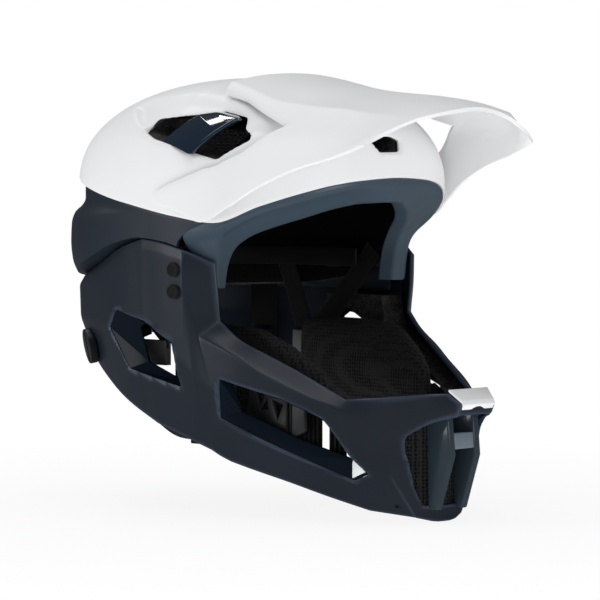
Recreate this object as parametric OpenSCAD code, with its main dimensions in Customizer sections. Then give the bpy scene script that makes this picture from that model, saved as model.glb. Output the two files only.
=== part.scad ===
// Downhill bike full face helmet with a removable chin bar, in mm.
// The origin is the middle of the head space; +Z is up, -Y is forward and
// +X is the wearer's left. The helmet stands as it is worn.

/* [Skull shell] */
// half width of the outer shell at its widest
shell_half_w = 106; // [104:1:110]
// reach of the outer shell ahead of the origin
shell_front = 119; // [116:1:122]
// reach of the outer shell behind the origin
shell_rear = 128; // [125:1:134]
// height where the dome starts to close
dome_base_z = 75; // [73:1:77]
// rise of the dome above that height
dome_rise = 70; // [68:1:74]
// exponent of the plan outline, 2 is an ellipse
plan_power = 2.25; // [2.15:0.05:2.35]
// exponent of the dome's upright outline
dome_power = 2.2; // [2.1:0.05:2.3]
// wall of the hard shells
shell_t = 2.4; // [2:0.1:2.4]
// clearance between one nested layer and the next
layer_gap = 0.4; // [0.3:0.05:0.5]
// clearance between the shells and the foam
foam_gap = 1.3; // [1.2:0.1:1.5]
// thickness of the foam liner
foam_t = 24; // [20:1:25]

/* [White shell edge] */
// height of the white edge at the brow
brow_line_z = 83; // [82:0.5:85]
// height of the white edge over the temple
temple_line_z = 55; // [53:0.5:57]
// height of the white edge beside the ear
ear_line_z = 65; // [64:0.5:67]
// height of the white edge at the back
rear_line_z = 84; // [82:0.5:86]
// depth that the lower shell tucks under the white edge
tuck_h = 5; // [3:0.5:6]

/* [Lower shell] */
// swell of the lower shell over the occiput
occiput_swell = 13; // [8:0.5:14]
// inward dip of the lower shell at the back, under the white edge
nape_dip = 4; // [2:0.5:5]
// inward step of the skirt behind the chin bar
skirt_step = 9.8; // [9.6:0.1:11]
// height of the lower shell's bottom edge
skirt_bottom_z = 5; // [4:0.5:8]

/* [Brow rim] */
// height of the eye port's upper edge at the middle
port_top_z = 66; // [64:0.5:68]
// height of the rim's lower ends at the temples
rim_end_z = 12; // [10:0.5:14]
// wall of the rim
rim_t = 2.4; // [2:0.1:2.8]

/* [Chin bar] */
// reach of the chin ahead of the shell
chin_reach = 72; // [68:1:78]
// depth of the chin below the origin
chin_depth = 134; // [128:1:140]
// height of the bar's highest point, above the ear
bar_top_z = 42; // [40:0.5:44]
// inset of the bar from the shell's half width
bar_inset = 2; // [1:0.5:3]
// wall of the chin bar
bar_t = 2.8; // [2.4:0.1:3]
// thickness of the foam inside the chin bar
bar_foam_t = 15; // [12:0.5:16]
// depth of the recesses round the bar's vents
recess_depth = 8; // [6:0.5:9]
// thickness of the pale plate on top of the chin
plate_t = 1.6; // [1.4:0.1:2]
// width of one upright bar of the mouth grille
grille_w = 5; // [4:0.25:6]
// depth of one upright bar of the mouth grille
grille_t = 7; // [5:0.5:8]
// distance of the upright bars from the middle
grille_x = 14.5; // [13:0.5:15]
// radius of a temple port cap
cap_r = 4.6; // [4:0.1:5]
// radius of a release dial
release_r = 11.5; // [10:0.5:12]

/* [Visor] */
// reach of the peak ahead of the shell
peak_reach = 70; // [64:1:76]
// stand-off of the visor's arms from the shell's half width
arm_gap = 4; // [3.8:0.1:5]
// lift of the visor's tongue over the top of the shell
tongue_lift = 3.4; // [3:0.1:5]
// wall of the visor
visor_t = 2.6; // [2.2:0.1:2.8]
// depth of the shell's recess under the visor's tongue
tongue_recess = 2.4; // [2:0.1:2.6]
// radius of a visor pivot pin
pivot_r = 5; // [4:0.25:6]

/* [Pads] */
// thickness of the crown pads
crown_pad_t = 7; // [5:0.5:8]
// thickness of the brow pad
brow_pad_t = 6; // [5:0.5:7]
// thickness of a cheek pad at its rim
cheek_rim_t = 6; // [5:0.5:8]
// thickness of a cheek pad at its crown
cheek_crown_t = 18; // [14:0.5:19]

/* [Fit and straps] */
// radius of the fit dial
dial_r = 15; // [13:0.5:17]
// thickness of the fit dial
dial_t = 8; // [7:0.5:9]
// height of the band of the fit cradle
band_h = 12; // [9:1:14]
// thickness of the band of the fit cradle
band_t = 2; // [1.6:0.1:2.4]
// width of the strap webbing
webbing_w = 15; // [13:0.5:17]
// thickness of the strap webbing
webbing_t = 1.6; // [1.4:0.1:2]

/* [Hidden] */

// upright columns round the helmet, and the angle between two of them
stations = 48;
column_step = 360 / stations;
// rows of the dome between its edge and its top
dome_rows = 9;
// facets of round pieces
round_fn = 32;
// overrun of every cut past the surface that it leaves
over = 6;
// half length of a cutter that goes right through
through = shell_front + chin_reach + over;
// clearance of a piece that is seated on another
seat_gap = 0.35;

// highest point of the shell
crown_z = dome_base_z + dome_rise;
// half width, reach ahead, reach behind, height and depth of each main form
shell_size = [shell_half_w, shell_front, shell_rear, crown_z, crown_z];
bar_half_w = shell_half_w - bar_inset;
bar_front = shell_front + chin_reach;
bar_size = [bar_half_w, bar_front, shell_rear + seat_gap, bar_top_z, chin_depth];
visor_half_w = shell_half_w + arm_gap;
visor_front = shell_front + peak_reach;
visor_size = [visor_half_w, visor_front, visor_front, crown_z + tongue_lift, crown_z];

function fold(az) = az > 180 ? 360 - az : az;
function unit(v) = v / norm(v);
function mix(a, b, share) = a + (b - a) * share;
function steps(n) = [for (i = [0:n]) i / n];
function flip(p) = [-p[0], p[1], p[2]];

// a place from its shares of a form's half width, reach and height
function place(shares, size) =
  [
    shares[0] * size[0],
    shares[1] * (shares[1] < 0 ? size[1] : size[2]),
    shares[2] * (shares[2] < 0 ? size[4] : size[3])
  ];

// a side view outline from its shares of a reach and of a height
function side_outline(shares, reach, height) = [for (s = shares) [reach * s[0], height * s[1]]];

// azimuths in degrees from the brow, and how far the white edge has come there
temple_az = 62;
ear_az = 98;
to_temple_shares = [[0, 0], [14, 0.054], [23, 0.143], [34, 0.339], [46, 0.607], [temple_az, 1]];
to_ear_shares = [[temple_az, 0], [77, 0.35], [95, 0.9], [ear_az, 1]];
to_rear_shares = [[ear_az, 0], [108, 0.158], [131, 0.579], [150, 0.895], [180, 1]];
function line_z(az) =
  let (f = fold(az))
  f < temple_az ? mix(brow_line_z, temple_line_z, lookup(f, to_temple_shares))
  : f < ear_az ? mix(temple_line_z, ear_line_z, lookup(f, to_ear_shares))
  : mix(ear_line_z, rear_line_z, lookup(f, to_rear_shares));

// plan radius of the helmet at an azimuth, moved inward by a depth
function plan_r(az, depth) =
  let (
    a = shell_half_w - depth,
    b = (cos(az) > 0 ? shell_front : shell_rear) - depth
  )
  pow(pow(abs(sin(az)) / a, plan_power) + pow(abs(cos(az)) / b, plan_power), -1 / plan_power);

// share of the plan radius that is left at a height
function dome_share(z, depth) =
  z <= dome_base_z ? 1
  : pow(max(0, 1 - pow((z - dome_base_z) / (dome_rise - depth), dome_power)), 1 / dome_power);

// recess of every layer under the visor's tongue
tongue_az_shares = [[0, 1], [70, 1], [90, 0]];
tongue_run_shares = [[0.16, 0], [0.3, 1], [0.7, 1], [0.85, 0]];
function tongue_dent(az, share) =
  tongue_recess * lookup(fold(abs(az)), tongue_az_shares) * lookup(share, tongue_run_shares);

// a point on the helmet's master surface, at a depth below it
function skin(az, z, depth) =
  let (share = dome_share(z, depth), r = plan_r(az, depth) * share)
  [r * sin(az), -r * cos(az), z - tongue_dent(az, share)];

// general solids from grids of points
function flat_list(rows) = [for (row = rows) each row];

// unit normal of a grid at one point, from its neighbours
function grid_normal(g, i, j, ring) =
  let (
    n = len(g),
    m = len(g[0]),
    ia = ring ? (i + n - 1) % n : max(0, i - 1),
    ib = ring ? (i + 1) % n : min(n - 1, i + 1),
    ja = max(0, j - 1),
    jb = min(m - 1, j + 1)
  )
  unit(cross(g[ib][j] - g[ia][j], g[i][jb] - g[i][ja]));

// the grid moved along its own normals
function grid_shift(g, d, ring) =
  [for (i = [0:len(g) - 1]) [for (j = [0:len(g[0]) - 1]) g[i][j] + d * grid_normal(g, i, j, ring)]];

// a thick patch between two grids of the same size
module slab(outer, inner, ring = false) {
  n = len(outer);
  m = len(outer[0]);
  k = n * m;
  last = ring ? n - 1 : n - 2;
  sheet = [for (i = [0:last]) for (j = [0:m - 2])
    let (a = i * m + j, b = ((i + 1) % n) * m + j)
    each [[a, b + 1, b], [a, a + 1, b + 1]]];
  back = [for (f = sheet) [k + f[2], k + f[1], k + f[0]]];
  low = [for (i = [0:last])
    let (a = i * m, b = ((i + 1) % n) * m)
    each [[a, k + b, k + a], [a, b, k + b]]];
  high = [for (i = [0:last])
    let (a = i * m + m - 1, b = ((i + 1) % n) * m + m - 1)
    each [[a, k + b, b], [a, k + a, k + b]]];
  e = (n - 1) * m;
  near_end = [for (j = [0:m - 2]) each [[j, k + j + 1, j + 1], [j, k + j, k + j + 1]]];
  far_end = [for (j = [0:m - 2])
    each [[e + j, k + e + j + 1, k + e + j], [e + j, e + j + 1, k + e + j + 1]]];
  ends = ring ? [] : concat(near_end, far_end);
  polyhedron(concat(flat_list(outer), flat_list(inner)), concat(sheet, back, low, high, ends));
}

// height of a dome's middle, a little over its last ring
crown_rise_share = 0.12;
function dome_top(g) =
  let (m = len(g[0]), last = g[0][m - 1], before = g[0][m - 2])
  last[2] + (last[2] - before[2]) * crown_rise_share;

// a closed dome between two stacks of rings, each ring in the same order
module dome(outer, inner) {
  n = len(outer);
  m = len(outer[0]);
  k = n * m;
  top = 2 * k;
  sheet = [for (i = [0:n - 1]) for (j = [0:m - 2])
    let (a = i * m + j, b = ((i + 1) % n) * m + j)
    each [[a, b + 1, b], [a, a + 1, b + 1]]];
  back = [for (f = sheet) [k + f[2], k + f[1], k + f[0]]];
  low = [for (i = [0:n - 1])
    let (a = i * m, b = ((i + 1) % n) * m)
    each [[a, k + b, k + a], [a, b, k + b]]];
  cap = [for (i = [0:n - 1]) [top, ((i + 1) % n) * m + m - 1, i * m + m - 1]];
  under = [for (i = [0:n - 1]) [top + 1, k + i * m + m - 1, k + ((i + 1) % n) * m + m - 1]];
  polyhedron(
    concat(flat_list(outer), flat_list(inner), [[0, 0, dome_top(outer)], [0, 0, dome_top(inner)]]),
    concat(sheet, back, low, cap, under)
  );
}

// a prism along X through a side view outline, which may be inset
module side_cut(outline, from_x = -through, to_x = through, inset = 0) {
  translate([from_x, 0, 0])
    rotate([90, 0, 90])
      linear_extrude(to_x - from_x)
        offset(delta = -inset)
          polygon(outline);
}

// a prism along Y through a front view outline, which may be inset
module front_cut(outline, from_y, to_y, inset = 0) {
  translate([0, to_y, 0])
    rotate([90, 0, 0])
      linear_extrude(to_y - from_y)
        offset(delta = -inset)
          polygon(outline);
}

// a prism along Z through a plan outline
module plan_cut(outline, from_z, to_z) {
  translate([0, 0, from_z])
    linear_extrude(to_z - from_z)
      polygon(outline);
}

module mirrored() {
  children();
  mirror([1, 0, 0]) children();
}

// outlines of the shell's openings, as shares of the shell's reach and height
side_vent_shares = [
  [0.132, 0.761], [0.114, 0.819], [-0.182, 0.843], [-0.273, 0.853], [-0.442, 0.829],
  [-0.493, 0.776], [-0.573, 0.737], [-0.435, 0.646], [-0.124, 0.708], [0.034, 0.732]
];
side_vent = side_outline(side_vent_shares, shell_front, crown_z);
front_vent_shares = [
  [-0.123, 0.724], [-0.061, 0.745], [0.061, 0.745], [0.123, 0.724], [0.086, 0.676], [-0.086, 0.676]
];
front_vent = side_outline(front_vent_shares, shell_half_w, crown_z);
rear_vent_shares = [
  [0.255, 0.736], [0.354, 0.768], [0.552, 0.768], [0.651, 0.736], [0.592, 0.661], [0.314, 0.661]
];
rear_vent = side_outline(rear_vent_shares, shell_half_w, rear_line_z);
// the front and rear vents are cut no nearer to the middle than this
vent_stop_y = shell_rear / 3;

// white upper shell
last_row_share = 0.995;
last_row_angle = 0.98 * 90;
function row_share(j) = sin(last_row_angle * j / (dome_rows + 1)) * last_row_share;
function upper_grid(depth) =
  [for (i = [0:stations - 1])
    let (az = i * column_step, z0 = line_z(az), top = crown_z - depth)
    [for (j = [0:dome_rows]) skin(az, z0 + (top - z0) * row_share(j), depth)]];

module upper_shell() {
  color("white")
    difference() {
      dome(upper_grid(0), upper_grid(shell_t));
      side_cut(side_vent);
      front_cut(front_vent, -through, -vent_stop_y);
    }
}

// navy lower shell, behind the brow rim
seam_az = 65;
seam_lean = 11;
lean_fade = 40;
seam_open = 0.5;
first_column = ceil((seam_az + seam_open) / column_step);
lower_az = concat(
  [seam_az + seam_open],
  [for (i = [first_column:stations - first_column]) i * column_step],
  [360 - seam_az - seam_open]
);

// upper edge of the chin bar, against which the skirt steps inward
bar_edge_shares = [
  [60, 0.714], [74, 0.871], [82, 0.962], [95, 1.014], [107, 0.917], [125, 0.631], [145, 0.381], [180, 0.214]
];
function bar_edge_z(az) = bar_top_z * lookup(fold(az), bar_edge_shares);
function rear_share(az) = pow(max(0, -cos(az)), 1.5);

// swell over the occiput, between a low and a high place on the back
swell_low_z = 2 * skirt_bottom_z;
swell_high_z = rear_line_z - 3.6 * tuck_h;
swell_shares = [
  [0, 0], [0.125, 0.5], [0.286, 0.88], [0.5, 1], [0.714, 0.95], [0.839, 0.72], [0.929, 0.2], [1, 0]
];
function swell(az, z) =
  let (share = (z - swell_low_z) / (swell_high_z - swell_low_z))
  rear_share(az) * (occiput_swell * lookup(share, swell_shares) - nape_dip);

// azimuth of a column's lower rows, leaning back from the seam
function lean(az, share) =
  let (f = fold(az), to = f + seam_lean * share * max(0, 1 - (f - seam_az) / lean_fade))
  az > 180 ? 360 - to : to;

tuck_depth = shell_t + layer_gap;
flush_drop = 1.6;
flush_depth = tuck_depth - flush_drop;
step_rise = 2.5;
lip_drop = 2;
lip_rise = 0.6;
lower_t_cut = 0.2;
lower_t = shell_t - lower_t_cut;
lower_rise_shares = [0, 0.16, 0.34, 0.54, 0.68, 0.78, 0.88, 1];
function lower_column(az, depth) =
  let (
    z0 = line_z(az),
    edge = bar_edge_z(lean(az, 1)),
    foot = skirt_step + depth,
    tuck = tuck_depth + depth
  )
  concat(
    [skin(lean(az, 1), skirt_bottom_z, foot), skin(lean(az, 1), edge, foot)],
    [for (s = lower_rise_shares)
      let (z = mix(edge + step_rise, z0 - lip_drop, s), a = lean(az, 1 - s * s))
      skin(a, z, flush_depth + depth - swell(a, z))],
    [skin(az, z0 + lip_rise - depth / 2, tuck), skin(az, z0 + tuck_h, tuck)]
  );

module lower_shell() {
  color("midnightblue")
    difference() {
      slab([for (az = lower_az) lower_column(az, 0)], [for (az = lower_az) lower_column(az, lower_t)]);
      mirrored() front_cut(rear_vent, vent_stop_y, through);
    }
}

// brow rim round the top of the eye port
rim_az = concat(
  [-seam_az],
  [for (i = [1 - first_column:first_column - 1]) column_step * i],
  [seam_az]
);

// azimuth, then shares of the shell's half width and reach and of the port's height
port_shares = [
  [0, 0, -0.924, 1], [9, 0.16, -0.891, 0.992], [18, 0.311, -0.803, 0.939], [27, 0.443, -0.706, 0.856],
  [36, 0.552, -0.605, 0.78], [45, 0.651, -0.483, 0.674], [52, 0.698, -0.408, 0.545],
  [59, 0.712, -0.374, 0.394], [65, 0.717, -0.353, 0]
];
// the outer corner between the rim's front bevel and its flank
corner_shares = [
  [0, 0, -0.996, 1.152], [9, 0.179, -0.966, 1.136], [18, 0.349, -0.891, 1.076], [27, 0.5, -0.807, 1],
  [36, 0.642, -0.689, 0.909], [45, 0.764, -0.555, 0.818], [52, 0.83, -0.445, 0.697],
  [59, 0.823, -0.391, 0.5], [65, 0.809, -0.378, 0]
];
function along_rim(table, az, k) = lookup(abs(az), [for (s = table) [s[0], s[k]]]);
function rim_point(table, az) =
  [
    sign(az) * shell_half_w * along_rim(table, az, 1),
    shell_front * along_rim(table, az, 2),
    max(rim_end_z, port_top_z * along_rim(table, az, 3))
  ];

// the flank's lower edge runs back to the seam, above the chin bar
port_lip = 10;
port_flare = 2;
rim_gap = 1.4;
rim_tuck = 1;
flank_az = 76;
flank_clear = 3;
flank_inset = 6.5;
flank_shares = [[0, 0], [45, 0.1], [52, 0.35], [59, 0.75], [65, 1]];
function rim_column(az) =
  let (
    f = abs(az),
    side = sign(az),
    back = lookup(f, flank_shares),
    corner = rim_point(corner_shares, az),
    port = rim_point(port_shares, az),
    top = skin(az, line_z(f) - rim_gap, flush_depth),
    low_z = mix(line_z(f) - tuck_h + rim_tuck, bar_edge_z(flank_az) + flank_clear, back),
    low = skin(side * (f + seam_lean * back), low_z, flush_depth)
  )
  [
    port + [-side * port_flare * sin(f), port_lip, 0],
    port,
    corner,
    mix(corner, low, 0.9) - flank_inset * back * [side, -0.2, 0],
    mix(low, top, 0.5),
    top,
    skin(az, line_z(f) - seat_gap, tuck_depth),
    skin(az, line_z(f) + tuck_h, tuck_depth)
  ];

module brow_rim() {
  outer = [for (az = rim_az) rim_column(az)];
  color("steelblue")
    slab(outer, grid_shift(outer, -rim_t, false));
}

// foam liner of the skull part
foam_edge_shares = [
  [0, 1.152], [30, 1.061], [50, 0.864], [62, 0.636], [75, 0.394], [95, 0.242], [120, 0.167], [180, 0.136]
];
foam_blend_h = 16;
foam_step_h = 14;
foam_front_clear = 5.5;
foam_crown_clear = 0.7;
// the foam's openings are this much wider than the shell's
foam_ease = 2.5;
foam_front_az = seam_az + column_step;
function foam_z(az) = port_top_z * lookup(fold(az), foam_edge_shares);
function foam_out(az, z) =
  let (
    high = shell_t + foam_gap,
    low = 2 * shell_t + 2 * foam_gap + nape_dip * rear_share(az),
    over_tuck = z - line_z(az) - tuck_h - lip_drop
  )
  over_tuck > 0 ? mix(low, high, min(1, over_tuck / foam_blend_h))
  : fold(az) <= foam_front_az ? low + foam_front_clear
  : z > bar_edge_z(az) + foam_step_h ? low
  : skirt_step + shell_t + foam_gap;

function foam_grid(inside) =
  [for (i = [0:stations - 1])
    let (az = i * column_step, z0 = foam_z(az))
    [for (j = [0:dome_rows + 2])
      let (
        top = crown_z - (inside ? foam_t : shell_t + foam_gap + foam_crown_clear),
        z = z0 + (top - z0) * sin(90 * j / (dome_rows + 3))
      )
      skin(az, z, inside ? foam_t : foam_out(az, z))]];

module foam_liner() {
  color("dimgray")
    difference() {
      dome(foam_grid(false), foam_grid(true));
      side_cut(side_vent, inset = -foam_ease);
      front_cut(front_vent, -through, -vent_stop_y, -foam_ease);
      mirrored() front_cut(rear_vent, vent_stop_y, through, -foam_ease);
    }
}

// glossy bridge across each side vent
bridge_top_shares = [-0.67, -0.361, 0.869];
bridge_low_shares = [-0.943, -0.151, 0.669];
bridge_half_top = 10.5;
bridge_half_low = 15;
bridge_t = 5;
bridge_bow = 3;
bridge_edge_drop = 2;
bridge_width_shares = [-1, -0.6, 0.6, 1];

module roll_bar() {
  from = place(bridge_top_shares, shell_size);
  to = place(bridge_low_shares, shell_size);
  d = unit(to - from);
  w = unit([0, 1, 0] - d * d[1]);
  n = cross(d, w);
  rows = [for (s = steps(6))
    let (
      c = mix(from, to, s) - n * bridge_bow * sin(180 * s),
      half = mix(bridge_half_top, bridge_half_low, s)
    )
    [for (k = bridge_width_shares) c + w * half * k + n * (abs(k) < 1 ? 0 : bridge_edge_drop)]];
  intersection() {
    slab([for (r = rows) [for (p = r) p + n * bridge_t]], rows);
    side_cut(side_vent, inset = seat_gap);
  }
}

module roll_bar_right() {
  color("navy") roll_bar();
}

module roll_bar_left() {
  color("navy") mirror([1, 0, 0]) roll_bar();
}

// visor: rows from the back of the tongue to the front edge, as shares of the visor's
// half width, reach and height; each row runs from the middle to the arm's lower edge
visor_row_shares = [
  [[0, -0.127, 1], [0.245, -0.127, 0.992], [0.473, -0.127, 0.965], [0.495, -0.127, 0.957],
    [0.995, -0.048, 0.485], [1, -0.074, 0.448]],
  [[0, -0.254, 0.978], [0.255, -0.254, 0.966], [0.518, -0.259, 0.925], [0.555, -0.254, 0.907],
    [0.973, -0.164, 0.566], [1, -0.18, 0.414]],
  [[0, -0.381, 0.95], [0.264, -0.381, 0.937], [0.555, -0.381, 0.885], [0.618, -0.381, 0.85],
    [0.907, -0.302, 0.64], [0.977, -0.275, 0.377]],
  [[0, -0.503, 0.93], [0.273, -0.503, 0.918], [0.568, -0.503, 0.866], [0.682, -0.519, 0.792],
    [0.795, -0.423, 0.724], [0.923, -0.365, 0.441]],
  [[0, -0.624, 0.92], [0.273, -0.624, 0.906], [0.591, -0.624, 0.856], [0.659, -0.603, 0.815],
    [0.75, -0.571, 0.755], [0.864, -0.476, 0.526]],
  [[0, -0.751, 0.91], [0.273, -0.746, 0.896], [0.6, -0.73, 0.849], [0.632, -0.72, 0.822],
    [0.718, -0.709, 0.748], [0.805, -0.619, 0.603]],
  [[0, -0.878, 0.893], [0.273, -0.868, 0.876], [0.573, -0.836, 0.832], [0.614, -0.825, 0.809],
    [0.691, -0.799, 0.745], [0.755, -0.757, 0.654]],
  [[0, -1, 0.863], [0.218, -0.974, 0.842], [0.382, -0.942, 0.815], [0.491, -0.923, 0.788],
    [0.6, -0.905, 0.755], [0.705, -0.873, 0.714]]
];
visor_half = [for (r = visor_row_shares) [for (s = r) place(s, visor_size)]];
function visor_row(r) = concat([for (j = [len(r) - 1:-1:1]) flip(r[j])], r);
// the gap between the tongue and an arm, in plan
visor_notch_shares = [
  [0.505, -0.079], [0.564, -0.254], [0.627, -0.381], [0.686, -0.521], [0.791, -0.426], [0.9, -0.307],
  [0.964, -0.164], [0.984, -0.042], [0.984, 0.079], [0.505, 0.079]
];
visor_notch = [for (s = visor_notch_shares) [s[0] * visor_half_w, s[1] * visor_front]];

module visor() {
  outer = [for (r = visor_half) visor_row(r)];
  color("white")
    difference() {
      slab(outer, grid_shift(outer, -visor_t, false));
      mirrored() plan_cut(visor_notch, 0, 2 * crown_z);
    }
}

// channel moulded under the peak
channel_half_w = 3;
channel_t = 3;
channel_rows = [2:6];
channel_at_share = 0.55;
module visor_channel() {
  rows = [for (k = channel_rows)
    let (
      r = visor_half[k],
      p = mix(r[0], r[1], channel_at_share) - [0, 0, visor_t + 2 * seat_gap]
    )
    [p - [channel_half_w, 0, 0], p + [channel_half_w, 0, 0]]];
  color("gainsboro")
    mirrored()
      slab(rows, [for (r = rows) [for (p = r) p - [0, 0, channel_t]]]);
}

// visor pivot pins, hidden between the arms and the shell
pivot_y = -0.235 * shell_front;
pivot_z = dome_base_z - 5;
pivot_az = 76;
module visor_pivots() {
  from_x = skin(pivot_az, pivot_z, 0)[0] + layer_gap;
  color("black")
    mirrored()
      translate([from_x, pivot_y, pivot_z])
        rotate([0, 90, 0])
          cylinder(h = arm_gap - visor_t - layer_gap, r = pivot_r, $fn = round_fn);
}

// chin bar: stations from the back round the side to the chin, each over the upper
// edge, the crease, the flank and the lower edge, as shares of the bar's size
bar_station_shares = [
  [[0, 0.982, 0.19], [0, 1.001, 0.071], [0, 0.993, -0.09], [0, 0.927, -0.194]],
  [[0.365, 0.943, 0.214], [0.375, 0.958, 0.095], [0.375, 0.951, -0.09], [0.346, 0.888, -0.201]],
  [[0.673, 0.767, 0.333], [0.692, 0.783, 0.214], [0.692, 0.775, -0.09], [0.644, 0.725, -0.246]],
  [[0.856, 0.491, 0.571], [0.875, 0.499, 0.452], [0.875, 0.491, -0.104], [0.808, 0.46, -0.373]],
  [[0.942, 0.234, 0.857], [0.971, 0.234, 0.738], [0.971, 0.234, -0.119], [0.875, 0.234, -0.478]],
  [[0.971, 0.062, 1], [0.995, 0.062, 0.881], [0.99, 0.047, -0.164], [0.885, 0.039, -0.56]],
  [[0.976, -0.073, 0.94], [1, -0.073, 0.81], [0.986, -0.073, -0.224], [0.865, -0.084, -0.612]],
  [[0.962, -0.147, 0.857], [0.99, -0.152, 0.738], [0.971, -0.152, -0.269], [0.846, -0.157, -0.649]],
  [[0.885, -0.246, 0.667], [0.971, -0.162, 0.357], [0.962, -0.183, -0.313], [0.827, -0.199, -0.672]],
  [[0.87, -0.251, 0.238], [0.957, -0.178, -0.022], [0.942, -0.215, -0.343], [0.808, -0.236, -0.701]],
  [[0.846, -0.251, -0.067], [0.938, -0.204, -0.134], [0.923, -0.257, -0.381], [0.788, -0.272, -0.724]],
  [[0.803, -0.325, -0.149], [0.894, -0.33, -0.205], [0.885, -0.351, -0.448], [0.731, -0.351, -0.761]],
  [[0.731, -0.429, -0.224], [0.837, -0.44, -0.295], [0.798, -0.476, -0.537], [0.635, -0.461, -0.813]],
  [[0.654, -0.539, -0.302], [0.74, -0.573, -0.384], [0.683, -0.594, -0.616], [0.51, -0.573, -0.876]],
  [[0.567, -0.686, -0.416], [0.615, -0.686, -0.463], [0.558, -0.702, -0.694], [0.365, -0.691, -0.94]],
  [[0.433, -0.801, -0.407], [0.471, -0.767, -0.537], [0.375, -0.796, -0.776], [0.202, -0.817, -0.97]],
  [[0.288, -0.885, -0.396], [0.298, -0.874, -0.493], [0.24, -0.843, -0.784], [0.115, -0.838, -0.985]],
  [[0.183, -0.948, -0.384], [0.149, -0.995, -0.433], [0.135, -0.88, -0.806], [0.058, -0.843, -0.992]],
  [[0, -0.955, -0.384], [0, -1, -0.433], [0, -0.885, -0.806], [0, -0.846, -0.992]]
];
bar_half = [for (station = bar_station_shares) [for (s = station) place(s, bar_size)]];
last_half = len(bar_half) - 1;
bar_ring = concat(
  bar_half,
  [for (i = [last_half - 1:-1:1]) [for (p = bar_half[i]) flip(p)]]
);

// a point of a bar station at a height, on its own outline
function station_at(s, z) =
  [
    for (c = [0, 1]) lookup(z, [for (k = [3:-1:0]) [s[k][2], s[k][c]]]),
    z
  ];
// half width of the bar's outer surface at a place in the side view
function bar_x(y, z) =
  let (cuts = [for (i = [last_half:-1:0]) station_at(bar_half[i], z)])
  lookup(y, [for (c = cuts) [c[1], c[0]]]);

// outlines of the bar's openings and of the recesses round them, point by point,
// as shares of the bar's reach and depth
bar_vent_shares = [
  [0.099, -0.111], [0.073, -0.086], [0.04, -0.093], [-0.085, -0.19], [-0.102, -0.362], [0.073, -0.274]
];
bar_recess_shares = [
  [0.236, -0.116], [0.19, -0.026], [0.037, -0.071], [-0.098, -0.172], [-0.115, -0.381], [0.141, -0.309]
];
long_vent_shares = [
  [-0.297, -0.349], [-0.502, -0.433], [-0.584, -0.491], [-0.626, -0.528], [-0.691, -0.672],
  [-0.687, -0.696], [-0.52, -0.608], [-0.325, -0.486]
];
long_recess_shares = [
  [-0.285, -0.332], [-0.502, -0.414], [-0.589, -0.47], [-0.636, -0.511], [-0.734, -0.766],
  [-0.684, -0.798], [-0.529, -0.69], [-0.267, -0.519]
];
bar_vent = side_outline(bar_vent_shares, bar_front, chin_depth);
bar_recess = side_outline(bar_recess_shares, bar_front, chin_depth);
long_vent = side_outline(long_vent_shares, bar_front, chin_depth);
long_recess = side_outline(long_recess_shares, bar_front, chin_depth);
mouth_shares = [
  [0.118, -0.485], [0.232, -0.519], [0.327, -0.588], [0.317, -0.649], [0.242, -0.823], [0.17, -0.918],
  [-0.17, -0.918], [-0.242, -0.823], [-0.317, -0.649], [-0.327, -0.588], [-0.232, -0.519], [-0.118, -0.485]
];
mouth_outline = side_outline(mouth_shares, bar_half_w, chin_depth);
mouth_cut_y = -0.68 * bar_front;

// where a release dial sits, and the way that it looks
release_shares = [0.762, 0.611, -0.219];
release_turn = 31.7;
release_tilt = 11;
shaft_r = 3;
shaft_gap = 0.5;
module at_release() {
  translate(place(release_shares, bar_size))
    rotate([0, 90 + release_tilt, release_turn])
      children();
}

module chin_bar() {
  color("darkslateblue")
    difference() {
      slab(bar_ring, grid_shift(bar_ring, -bar_t, true), true);
      side_cut(bar_recess);
      side_cut(long_recess);
      front_cut(mouth_outline, -through, mouth_cut_y);
      mirrored()
        at_release()
          translate([0, 0, -over])
            cylinder(h = 2 * over, r = shaft_r + shaft_gap, $fn = round_fn);
    }
}

// funnels in the bar's recesses, each sloping in to its vent
surround_t = 1.6;
function surround_rings(recess, vent) =
  [for (k = [0:len(vent) - 1])
    let (
      o = recess[k],
      v = vent[k],
      inward = unit([v[0] - o[0], v[1] - o[1]]) * seat_gap,
      r = [o[0] + inward[0], o[1] + inward[1]]
    )
    [
      [bar_x(v[0], v[1]) - recess_depth, v[0], v[1]],
      [bar_x(r[0], r[1]) - layer_gap, r[0], r[1]]
    ]];
module surround(recess, vent) {
  rings = surround_rings(recess, vent);
  slab([for (r = rings) [for (p = r) p - [surround_t, 0, 0]]], rings, true);
}

module vent_surrounds() {
  surround(bar_recess, bar_vent);
  surround(long_recess, long_vent);
}

module vent_surround_left() {
  color("midnightblue") vent_surrounds();
}

module vent_surround_right() {
  color("midnightblue") mirror([1, 0, 0]) vent_surrounds();
}

// foam inside each side of the chin bar
foam_stand_off = 1.4;
foam_top_drop = 4;
foam_crease_drop = 1.5;
foam_row_drop = 8;
foam_low_share = 0.1;
foam_stations = [4:15];
module bar_foam() {
  rows = [for (i = foam_stations)
    let (
      s = bar_half[i],
      top = min(s[1][2] - foam_crease_drop, skirt_bottom_z - foam_top_drop),
      low = mix(s[3][2], s[2][2], foam_low_share)
    )
    [for (z = [top, top - foam_row_drop, s[2][2], low]) station_at(s, z)]];
  outer = grid_shift(rows, -bar_t - foam_stand_off, false);
  inner = [for (row = outer) [for (p = row) p - bar_foam_t * unit([p[0], p[1], 0])]];
  difference() {
    slab(outer, inner);
    side_cut(bar_recess, inset = -foam_stand_off);
    side_cut(long_recess, inset = -foam_stand_off);
  }
}

module bar_foam_left() {
  color("gray") bar_foam();
}

module bar_foam_right() {
  color("gray") mirror([1, 0, 0]) bar_foam();
}

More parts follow.
